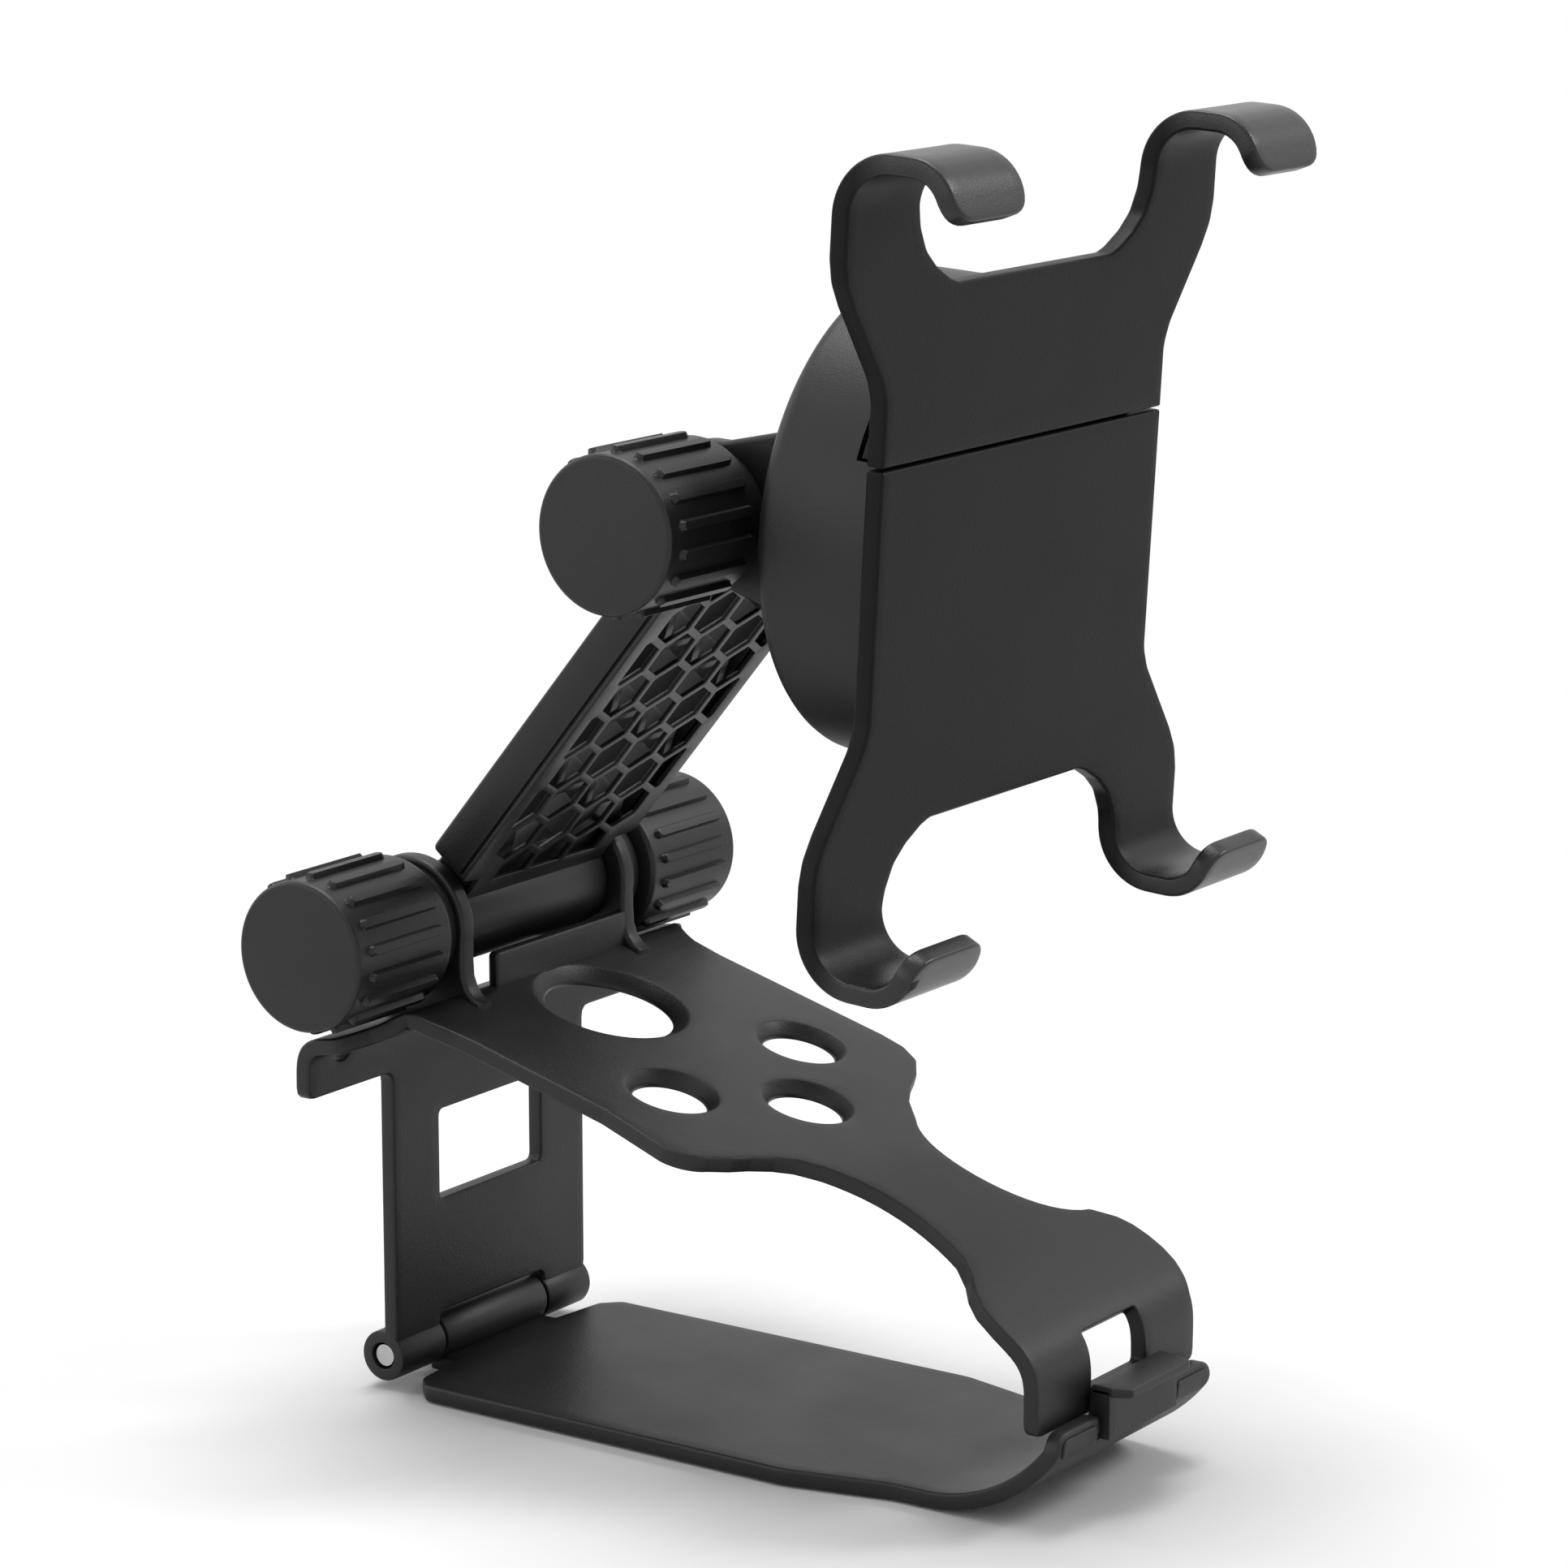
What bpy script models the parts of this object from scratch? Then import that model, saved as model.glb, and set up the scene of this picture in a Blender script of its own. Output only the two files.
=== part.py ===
"""Clip that carries a phone above a gamepad.

A hinged shell closes round the middle of the gamepad, a flat arm with a honeycomb panel
tilts on the shell, and a round holder with a sprung clamp tilts on the end of the arm.
Shapes are modelled in millimetres and scaled to metres when a piece is placed.
X points to the player's right, Y away from the player and Z up. The origin is the middle
of the flat underside. Pieces of the shell are drawn round the lower hinge axis.
"""
import math

import bmesh
import bpy
from mathutils import Matrix, Vector

MM = 0.001
CLEARANCE = 0.3

# Rest pose, seen from the side: both angles lean towards the player.
ARM_TILT = 39.5
HOLDER_TILT = 3.3
AXIS_Y = 40.0
AXIS_Z = 52.0

# Arm with its honeycomb panel.
ARM_LENGTH = 62.3
ARM_WIDTH = 31.0
ARM_THICKNESS = 5.2
ARM_SETBACK = 0.4
BARREL_RADIUS = 5.6
SHOULDER_GAP = 1.4
NECK_INSET = 0.7
SHOULDER_SLOPE = 0.4
RIM_WIDTH = 0.9
RIM_HEIGHT = 0.4
PANEL_BORDER = 2.3
PANEL_END_BORDER = 7.95
CELL_PITCH = 6.25
CELL_RIB = 0.95
BACK_RIB = 1.1
FRONT_LAYER = 1.7
PANEL_OVERCUT = 0.05

# Both hinges: lugs, bolt, bushes and ribbed knobs.
LUG_THICKNESS = 2.3
LUG_RADIUS = 7.4
BOLT_RADIUS = 2.0
BOLT_GRIP = 9.0
BUSH_WIDTH = 1.8
BUSH_RADIUS = 6.4
KNOB_LENGTH = 15.7
KNOB_RADIUS = 8.2
KNOB_DOME = 0.25
KNOB_EDGE = 0.5
KNOB_STEPS = 40
RIB_COUNT = 20
RIB_HEIGHT = 0.4
RIB_WIDTH = 1.0
RIB_START = 1.9
RIB_END = 1.9

# Upper shell of the gamepad clamp.
SHELL_THICKNESS = 1.8
FACE_SLOPE = 15.2
FACE_DROP = 5.44
FACE_HALF = 22.5
STRIP_HALF = 31.0
TROUGH_GAP = 0.65
WALL_Y = 3.0
WALL_BEND = 3.0
WALL_HALF = 17.0
STRIP_DROP = 7.0
ROLL_START = 50.0
ROLL_RADIUS = 76.0
ROLL_SLOPE = 36.0
ROLL_RUN = 2.9
NOSE_RADIUS = 5.5
TONGUE_HALF = 15.2
TONGUE_DROP = 5.0
GUIDE_HOLE_Y = 15.4
GUIDE_HOLE_RADIUS = 7.1
GUIDE_CHAMFER = 1.4
MENU_HOLE_X = 11.9
MENU_HOLE_Y = 32.0
SHARE_HOLE_Y = 41.0
MENU_HOLE_RADIUS = 4.0
MENU_CHAMFER = 1.05
CHAMFER_DEPTH = 1.1
CORNER_ARC = (-19.4, -39.4, 4.5)
PAD_ARC = (-38.1, -60.6, 28.0)
STICK_ARC = (13.95, -57.95, 10.4)
SILL_LEFT = 9.6
SILL_THICKNESS = 1.3
SILL_TOP = 3.4
WINDOW_HALF = 5.25
WINDOW_HEIGHT = 6.0
PORT_HALF = 9.0
PORT_HEIGHT = 10.0
PORT_DROP = 12.0
STRIP_HOLE_X = 25.5
STRIP_HOLE_RADIUS = 1.4
STRIP_HOLE_DROP = 2.3

# Lower strap and its hinge.
BELLY_HALF = 18.0
PIN_Y = 3.2
PIN_HEIGHT = 3.6
PIN_RADIUS = 1.2
KNUCKLE_RADIUS = 2.8
KNUCKLE_HALF = 9.0
STRAP_BEND = 2.5
STRAP_SWEEP = 20.0
STRAP_LEAN = 52.0
STRAP_TAPER_START = 50.0
STRAP_TAPER_END = 62.0
FRONT_GAP = 0.4

# Latch at the front of the strap.
LATCH_HALF = 6.7
LATCH_PIN_RADIUS = 0.4
LATCH_PIN_DROP = 4.5
LATCH_KNUCKLE = 1.1
LATCH_PROUD = 0.8
LATCH_SKIN = 0.35
EAR_BOSS = 1.1
EAR_TOP_DROP = 2.9
EAR_CORNER = 2.4
SHELF_REACH = 2.9
SHELF_THICKNESS = 1.0
SHELF_TAPER = 0.9
SPRING_GAP_HALF = 2.9
LATCH_WIRE = 0.15
LATCH_COIL = 0.85
LATCH_TURNS = 5

# Holder: drum, fixed plate and sliding carriage.
DRUM_BACK = 11.6
DRUM_RADIUS = 24.8
DRUM_WALL = 2.0
DRUM_EDGE = 1.6
DRUM_STEPS = 64
FLARE_START = 1.0
FLARE = 0.28
PLATE_BACK = 25.2
PLATE_THICKNESS = 2.0
PLATE_HALF = 26.0
SPLIT_HEIGHT = 9.4
WAIST_DROP = 18.5
TOP_EDGE_DROP = 8.0
BOTTOM_EDGE_DROP = 7.5
NOTCH_HALF = 14.0
CLAW_INNER = 21.8
CLAW_OUTER = 34.3
CLAW_HEIGHT = 34.5
CLAW_BEND = 5.4
CLAW_RUN = 2.2
CLAW_LIP_BEND = 4.2
CLAW_LIP_ANGLE = 66.0
CLAW_LIP = 2.6
CLAW_CORNER = 3.0
CLAMP_TRAVEL = 22.0
TONGUE_WIDTH_HALF = 11.0
SLIDE_THICKNESS = 2.1
SLIDE_GAP = 0.5
SLIDER_HEIGHT = 5.0
SLIDER_HALF = 10.4
ROD_X = 7.5
ROD_RADIUS = 1.2
ROD_FOOT = 19.8
ROD_HEAD = 16.6
SPRING_WIRE = 0.35
SPRING_COIL = 2.0
SPRING_TURNS = 7
SCREW_PLACES = ((18.8, -5.5), (13.8, -14.2))
SCREW_HEAD_RADIUS = 2.2
SCREW_RADIUS = 1.0
SCREW_SINK = 1.1
BOSS_RADIUS = 2.2

# Places that follow from the sizes above.
LUG_OUTER = ARM_WIDTH / 2
LUG_INNER = LUG_OUTER - LUG_THICKNESS
BARREL_HALF = LUG_INNER - CLEARANCE
BUSH_START = LUG_OUTER + CLEARANCE
KNOB_START = BUSH_START + BUSH_WIDTH + CLEARANCE
BOLT_HALF = KNOB_START + BOLT_GRIP
BOLT_HOLE = BOLT_RADIUS + CLEARANCE
SHOULDER = LUG_RADIUS + SHOULDER_GAP
TROUGH_RADIUS = KNOB_RADIUS + RIB_HEIGHT + TROUGH_GAP
BELLY_Z = -AXIS_Z
PIN_Z = BELLY_Z + PIN_HEIGHT
SHELL_FRONT = PLATE_BACK - CLEARANCE
DRUM_FLOOR = DRUM_BACK + DRUM_WALL
DRUM_BORE = DRUM_RADIUS - DRUM_WALL
WAIST = CLAW_HEIGHT - WAIST_DROP
TOP_EDGE = CLAW_HEIGHT - TOP_EDGE_DROP
BOTTOM_EDGE = CLAW_HEIGHT - BOTTOM_EDGE_DROP
SLIDE_FRONT = PLATE_BACK - SLIDE_GAP
SLIDE_BACK = SLIDE_FRONT - SLIDE_THICKNESS
SKIRT_FOOT = SPLIT_HEIGHT + CLEARANCE / 2 + 0.1
ROD_DEPTH = (DRUM_FLOOR + SLIDE_BACK) / 2


def arc(centre, radius, start, end, steps):
    """Points on a circle, from one angle in degrees to another."""
    turns = [math.radians(start + (end - start) * i / steps) for i in range(steps + 1)]
    return [(centre[0] + radius * math.cos(a), centre[1] + radius * math.sin(a)) for a in turns]


def work_object(name, mesh):
    """Put a mesh into the scene, so that modifiers can work on it."""
    piece = bpy.data.objects.new(name, mesh)
    bpy.context.scene.collection.objects.link(piece)
    return piece


def settle(piece):
    """Replace an object's mesh by its evaluated one, welded and facing outwards."""
    graph = bpy.context.evaluated_depsgraph_get()
    mesh = bpy.data.meshes.new_from_object(piece.evaluated_get(graph))
    mesh.transform(piece.matrix_world)
    form = bmesh.new()
    form.from_mesh(mesh)
    bmesh.ops.remove_doubles(form, verts=form.verts, dist=0.0001)
    bmesh.ops.recalc_face_normals(form, faces=form.faces)
    form.to_mesh(mesh)
    form.free()
    name = piece.name
    bpy.data.objects.remove(piece)
    return work_object(name, mesh)


def flat_piece(outlines, thickness):
    """A plate in the XY plane, centred on it: the first outline less the ones inside it."""
    curve = bpy.data.curves.new("outline", "CURVE")
    curve.dimensions = "2D"
    curve.fill_mode = "BOTH"
    curve.extrude = thickness / 2
    for outline in outlines:
        spline = curve.splines.new("POLY")
        spline.points.add(len(outline) - 1)
        for point, place in zip(spline.points, outline):
            point.co = (place[0], place[1], 0.0, 1.0)
        spline.use_cyclic_u = True
    return settle(work_object("plate", curve))


def moved(piece, matrix):
    """Turn and shift a work piece by changing its mesh."""
    piece.data.transform(matrix)
    return piece


def upright(outlines, low, high):
    """A plate whose outlines lie in XZ, between two places along Y."""
    turn = Matrix.Rotation(math.radians(90), 4, "X")
    plate = flat_piece(outlines, high - low)
    return moved(plate, Matrix.Translation((0, (low + high) / 2, 0)) @ turn)


def side_plate(outlines, low, high):
    """A plate whose outlines are pairs of Y and Z, between two places along X."""
    turn = Matrix(((0, 0, 1, 0), (1, 0, 0, 0), (0, 1, 0, 0), (0, 0, 0, 1)))
    plate = flat_piece(outlines, high - low)
    return moved(plate, Matrix.Translation(((low + high) / 2, 0, 0)) @ turn)


def level_plate(outlines, low, high):
    """A plate whose outlines lie in XY, between two heights."""
    return moved(flat_piece(outlines, high - low), Matrix.Translation((0, 0, (low + high) / 2)))


def block(low, high):
    """A box between two corners."""
    form = bmesh.new()
    bmesh.ops.create_cube(form, size=1.0)
    size = [b - a for a, b in zip(low, high)]
    middle = [(a + b) / 2 for a, b in zip(low, high)]
    bmesh.ops.scale(form, vec=size, verts=form.verts)
    bmesh.ops.translate(form, vec=middle, verts=form.verts)
    mesh = bpy.data.meshes.new("block")
    form.to_mesh(mesh)
    form.free()
    return work_object("block", mesh)


def rod(radius, start, end, segments=24):
    """A round bar between two points."""
    start, end = Vector(start), Vector(end)
    form = bmesh.new()
    bmesh.ops.create_cone(
        form, cap_ends=True, segments=segments, radius1=radius, radius2=radius,
        depth=(end - start).length)
    turn = (end - start).to_track_quat("Z", "Y").to_matrix().to_4x4()
    bmesh.ops.transform(form, matrix=Matrix.Translation((start + end) / 2) @ turn, verts=form.verts)
    mesh = bpy.data.meshes.new("rod")
    form.to_mesh(mesh)
    form.free()
    return work_object("rod", mesh)


def turned(profile, steps, closed=False):
    """A shape turned round Z from pairs of radius and height."""
    mesh = bpy.data.meshes.new("profile")
    edges = [(i, i + 1) for i in range(len(profile) - 1)]
    if closed:
        edges.append((len(profile) - 1, 0))
    mesh.from_pydata([(r, 0, z) for r, z in profile], edges, [])
    piece = work_object("turned", mesh)
    screw = piece.modifiers.new("turn", "SCREW")
    screw.steps = steps
    screw.render_steps = steps
    screw.use_merge_vertices = True
    screw.merge_threshold = 0.0001
    return settle(piece)


def bent_sheet(path, low, high, thickness):
    """A sheet whose outer face follows a path of Y and Z pairs, as wide as low to high."""
    mesh = bpy.data.meshes.new("sheet")
    places = [(x, y, z) for y, z in path for x in (high, low)]
    faces = [(2 * i, 2 * i + 1, 2 * i + 3, 2 * i + 2) for i in range(len(path) - 1)]
    mesh.from_pydata(places, [], faces)
    piece = work_object("sheet", mesh)
    wall = piece.modifiers.new("wall", "SOLIDIFY")
    wall.thickness = thickness
    wall.offset = -1.0
    wall.use_even_offset = True
    return settle(piece)


def combine(piece, tool, operation):
    """Join or cut one piece with another, which is used up."""
    step = piece.modifiers.new("step", "BOOLEAN")
    step.operation = operation
    step.solver = "EXACT"
    step.object = tool
    piece = settle(piece)
    bpy.data.objects.remove(tool)
    return piece


def cut(piece, *tools):
    """Cut a piece with each tool in turn."""
    for tool in tools:
        piece = combine(piece, tool, "DIFFERENCE")
    return piece


def join(piece, *tools):
    """Join each tool to a piece in turn."""
    for tool in tools:
        piece = combine(piece, tool, "UNION")
    return piece


def grouped(pieces):
    """Gather pieces that don't touch into one work piece."""
    form = bmesh.new()
    for piece in pieces:
        form.from_mesh(piece.data)
        bpy.data.objects.remove(piece)
    mesh = bpy.data.meshes.new("group")
    form.to_mesh(mesh)
    form.free()
    return work_object("group", mesh)


def coil(axis_point, radius, wire, turns, length, along):
    """A spring: a helix of wire that starts at a point and runs along one axis."""
    steps = turns * 8
    curve = bpy.data.curves.new("coil", "CURVE")
    curve.dimensions = "3D"
    curve.bevel_depth = wire
    curve.bevel_resolution = 2
    curve.use_fill_caps = True
    spline = curve.splines.new("POLY")
    spline.points.add(steps)
    turn = Vector((0, 0, 1)).rotation_difference(Vector(along)).to_matrix()
    for i, point in enumerate(spline.points):
        angle = 2 * math.pi * turns * i / steps
        place = Vector((radius * math.cos(angle), radius * math.sin(angle), length * i / steps))
        point.co = (*(Vector(axis_point) + turn @ place), 1.0)
    return settle(work_object("coil", curve))


def material(name, colour, roughness, metallic=0.0):
    """A Principled BSDF material with one plain finish."""
    finish = bpy.data.materials.new(name)
    finish.use_nodes = True
    shader = finish.node_tree.nodes["Principled BSDF"]
    shader.inputs["Base Color"].default_value = (*colour, 1.0)
    shader.inputs["Roughness"].default_value = roughness
    shader.inputs["Metallic"].default_value = metallic
    return finish


def place(piece, name, finish, parent):
    """Name a finished piece, scale it to metres and hang it on its parent empty."""
    piece.data.transform(Matrix.Scale(MM, 4))
    piece.name = name
    piece.data.name = name
    piece.data.materials.clear()
    piece.data.materials.append(finish)
    piece.data.shade_smooth()
    piece.data.set_sharp_from_angle(angle=math.radians(30))
    bpy.context.scene.collection.objects.unlink(piece)
    bpy.data.collections["phone_clip"].objects.link(piece)
    piece.parent = parent


def pivot(name, location, tilt=0.0, parent=None):
    """An empty on a hinge axis, in millimetres and degrees."""
    empty = bpy.data.objects.new(name, None)
    empty.empty_display_size = 5 * MM
    bpy.data.collections["phone_clip"].objects.link(empty)
    empty.location = Vector(location) * MM
    empty.rotation_euler = (math.radians(tilt), 0, 0)
    empty.parent = parent
    return empty


def clear_scene():
    """Remove whatever the file holds and make the collection of the parts."""
    for piece in list(bpy.data.objects):
        bpy.data.objects.remove(piece)
    parts = bpy.data.collections.new("phone_clip")
    bpy.context.scene.collection.children.link(parts)


def face_height(y):
    """Height of the upper shell's outer face on its straight slope."""
    return -FACE_DROP + math.tan(math.radians(FACE_SLOPE)) * y


def shell_path():
    """Outer face of the upper shell from the foot of its rear wall to the tongue's end."""
    slope = math.tan(math.radians(FACE_SLOPE))
    half_b = FACE_DROP * slope / (1 + slope ** 2)
    rest = (FACE_DROP ** 2 - TROUGH_RADIUS ** 2) / (1 + slope ** 2)
    crest_y = half_b - math.sqrt(half_b ** 2 - rest)
    crest_angle = math.degrees(math.atan2(face_height(crest_y), crest_y))
    bend_centre = (WALL_Y - WALL_BEND, -TROUGH_RADIUS - WALL_BEND)
    path = [(WALL_Y, PIN_Z + KNUCKLE_RADIUS / 2)]
    path += arc(bend_centre, WALL_BEND, 0, 90, 5)
    path += arc((0, 0), TROUGH_RADIUS, -90, crest_angle, 5)[1:]
    roll_y, roll_z = -ROLL_START, face_height(-ROLL_START)
    a, b = math.radians(FACE_SLOPE), math.radians(ROLL_SLOPE)
    roll_centre = (roll_y + ROLL_RADIUS * math.sin(a), roll_z - ROLL_RADIUS * math.cos(a))
    path += arc(roll_centre, ROLL_RADIUS, 90 + FACE_SLOPE, 90 + ROLL_SLOPE, 6)
    end_y, end_z = path[-1]
    end_y -= ROLL_RUN * math.cos(b)
    end_z -= ROLL_RUN * math.sin(b)
    nose_centre = (end_y + NOSE_RADIUS * math.sin(b), end_z - NOSE_RADIUS * math.cos(b))
    path += arc(nose_centre, NOSE_RADIUS, 90 + ROLL_SLOPE, 180, 6)
    path.append((path[-1][0], path[-1][1] - TONGUE_DROP))
    return path


NOSE_Y, TONGUE_END = shell_path()[-1]
WINDOW_TOP = TONGUE_END + TONGUE_DROP + 3.4
WINDOW_FOOT = WINDOW_TOP - WINDOW_HEIGHT
SHELF_TOP = WINDOW_TOP - 4.8
STRAP_FRONT = NOSE_Y - FRONT_GAP - SHELL_THICKNESS
LATCH_PIN_Y = STRAP_FRONT + 0.8
LATCH_PIN_Z = SHELF_TOP - LATCH_PIN_DROP
EAR_TOP = SHELF_TOP - EAR_TOP_DROP


def shell_outline():
    """Plan of the upper shell: wide rear strip, square shoulders, waist and front tongue."""
    left = [(-STRIP_HALF, -2.5), (-27.0, -3.9), (-24.3, -6.6), (-22.9, -10.2), (-FACE_HALF, -14.0)]
    right = [(-x, y) for x, y in reversed(left)]
    left_corner = [(-FACE_HALF, -31.0)] + arc(CORNER_ARC[:2], CORNER_ARC[2], 180, 248, 6)
    left_hollow = [(-19.1, -44.8), (-17.0, -45.7), (-14.7, -47.1), (-13.1, -48.6)]
    left_waist = arc(PAD_ARC[:2], PAD_ARC[2], 20, -14, 7)
    left_tongue = [(-12.5, -69.5), (-14.2, -71.0), (-15.3, -72.7), (-15.6, -74.9), (-15.6, -90.0)]
    right_tongue = [(TONGUE_HALF, -90.0), (15.4, -78.8), (16.0, -77.8), (16.6, -76.2),
                    (16.7, -74.7), (16.4, -73.1), (15.8, -71.5), (14.8, -70.1)]
    right_waist = arc(STICK_ARC[:2], STICK_ARC[2], 261, 126, 11)
    right_corner = [(11.0, -46.6), (14.4, -44.6), (17.6, -43.2), (20.6, -41.2), (22.1, -38.6),
                    (FACE_HALF, -35.6)]
    return ([(-STRIP_HALF, 8.0)] + left + left_corner + left_hollow + left_waist + left_tongue
            + right_tongue + right_waist + right_corner + right + [(STRIP_HALF, 8.0)])


def lug_outline(radius, foot):
    """Side view of a shell lug: round head, straight front and a foot that runs forward."""
    head = arc((0, 0), radius, 180, -25, 14)
    front = [(-radius - 3.2, face_height(-radius - 3.2) - foot),
             (-radius - 3.2, face_height(-radius - 3.2) + 0.1),
             (-radius - 1.5, face_height(-radius - 1.5) + 0.5),
             (-radius - 0.4, face_height(-radius) + 1.6), (-radius, -4.2)]
    rear = [(WALL_Y - 0.4, -TROUGH_RADIUS - WALL_BEND * 0.6), (-radius / 2, -TROUGH_RADIUS)]
    return front + head + rear


def chamfered_hole(x, y, radius, chamfer):
    """Cutter for a round hole in the face: a cone at the top and a straight bore."""
    reach = 3.0
    profile = [(0, reach), (radius + chamfer * (1 + reach / CHAMFER_DEPTH), reach),
               (radius, -CHAMFER_DEPTH), (radius, -reach - SHELL_THICKNESS),
               (0, -reach - SHELL_THICKNESS)]
    turn = Matrix.Rotation(math.radians(FACE_SLOPE), 4, "X")
    return moved(turned(profile, 32), Matrix.Translation((x, -y, face_height(-y))) @ turn)


def make_faceplate(finish, parent):
    """Upper shell: a bent moulding with lugs, a sill, button holes and hinge knuckles."""
    shell = bent_sheet(shell_path(), -STRIP_HALF - 1, STRIP_HALF + 1, SHELL_THICKNESS)
    shell = combine(shell, level_plate([shell_outline()], BELLY_Z, 10.0), "INTERSECT")
    for side in (-1, 1):
        inner, outer = side * LUG_INNER, side * LUG_OUTER
        lug = side_plate([lug_outline(LUG_RADIUS, 1.0)], min(inner, outer), max(inner, outer))
        shell = join(shell, lug)
    sill_y = -LUG_RADIUS + SILL_THICKNESS
    sill_foot = face_height(-LUG_RADIUS) - 1.0
    sill = block((-SILL_LEFT, -LUG_RADIUS, sill_foot), (LUG_INNER + 0.5, sill_y, -SILL_TOP))
    shell = join(shell, sill)
    knuckle_start = KNUCKLE_HALF + CLEARANCE
    for side in (-1, 1):
        ends = [(side * x, PIN_Y, PIN_Z) for x in (knuckle_start, WALL_HALF)]
        shell = join(shell, rod(KNUCKLE_RADIUS, *ends))
    strip_foot = -TROUGH_RADIUS - STRIP_DROP
    below = BELLY_Z - 5.0
    corners = grouped([
        block((-STRIP_HALF - 1, -1.5, below), (-WALL_HALF, 8.0, strip_foot)),
        block((WALL_HALF, -1.5, below), (STRIP_HALF + 1, 8.0, strip_foot))])
    relief = rod(KNUCKLE_RADIUS + FRONT_GAP, (-knuckle_start, PIN_Y, PIN_Z),
                 (knuckle_start, PIN_Y, PIN_Z), 32)
    port_top = strip_foot - PORT_DROP / 2
    port = block((-PORT_HALF, -2.0, port_top - PORT_HEIGHT), (PORT_HALF, 8.0, port_top))
    window = block((-WINDOW_HALF, NOSE_Y - 5, WINDOW_FOOT), (WINDOW_HALF, NOSE_Y + 5, WINDOW_TOP))
    pin_hole = rod(PIN_RADIUS + CLEARANCE, (-STRIP_HALF, PIN_Y, PIN_Z), (STRIP_HALF, PIN_Y, PIN_Z))
    bolt_hole = rod(BOLT_HOLE, (-BOLT_HALF, 0, 0), (BOLT_HALF, 0, 0))
    hole_z = -TROUGH_RADIUS - STRIP_HOLE_DROP
    strip_holes = grouped([
        rod(STRIP_HOLE_RADIUS, (side * STRIP_HOLE_X, -4, hole_z), (side * STRIP_HOLE_X, 8, hole_z), 16)
        for side in (-1, 1)])
    buttons = [chamfered_hole(0, GUIDE_HOLE_Y, GUIDE_HOLE_RADIUS, GUIDE_CHAMFER),
               chamfered_hole(-MENU_HOLE_X, MENU_HOLE_Y, MENU_HOLE_RADIUS, MENU_CHAMFER),
               chamfered_hole(MENU_HOLE_X, MENU_HOLE_Y, MENU_HOLE_RADIUS, MENU_CHAMFER),
               chamfered_hole(0, SHARE_HOLE_Y, MENU_HOLE_RADIUS, MENU_CHAMFER)]
    shell = cut(shell, corners, relief, port, window, pin_hole, bolt_hole, strip_holes, *buttons)
    place(shell, "faceplate", finish, parent)


def strap_path():
    """Outer face of the lower strap: ears, a tight bend, a wide sweep and the flat belly."""
    lean = math.radians(STRAP_LEAN)
    offset = STRAP_SWEEP - STRAP_BEND
    bend = (STRAP_FRONT + STRAP_BEND, BELLY_Z + STRAP_SWEEP - offset * math.cos(lean))
    sweep = (STRAP_FRONT + STRAP_BEND + offset * math.sin(lean), BELLY_Z + STRAP_SWEEP)
    path = [(STRAP_FRONT, EAR_TOP + 1)] + arc(bend, STRAP_BEND, 180, 270 - STRAP_LEAN, 4)
    return path + arc(sweep, STRAP_SWEEP, 270 - STRAP_LEAN, 270, 9)[1:] + [(PIN_Y, BELLY_Z)]


def ear_outline():
    """Front view of the strap: its full width with two rounded ears beside the latch."""
    ear_inner = LATCH_HALF + FRONT_GAP
    gap_foot = LATCH_PIN_Z - LATCH_KNUCKLE - FRONT_GAP
    outer = arc((TONGUE_HALF - EAR_CORNER, EAR_TOP - EAR_CORNER), EAR_CORNER, 2, 90, 5)
    inner = arc((ear_inner + 1, EAR_TOP - 1), 1.0, 90, 180, 3)
    half = [(BELLY_HALF + 2, BELLY_Z - 1), (BELLY_HALF + 2, EAR_TOP - EAR_CORNER - 1),
            (TONGUE_HALF + 0.2, EAR_TOP - EAR_CORNER)]
    half += outer + inner + [(ear_inner, gap_foot)]
    return half + [(-x, z) for x, z in reversed(half)]


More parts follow.
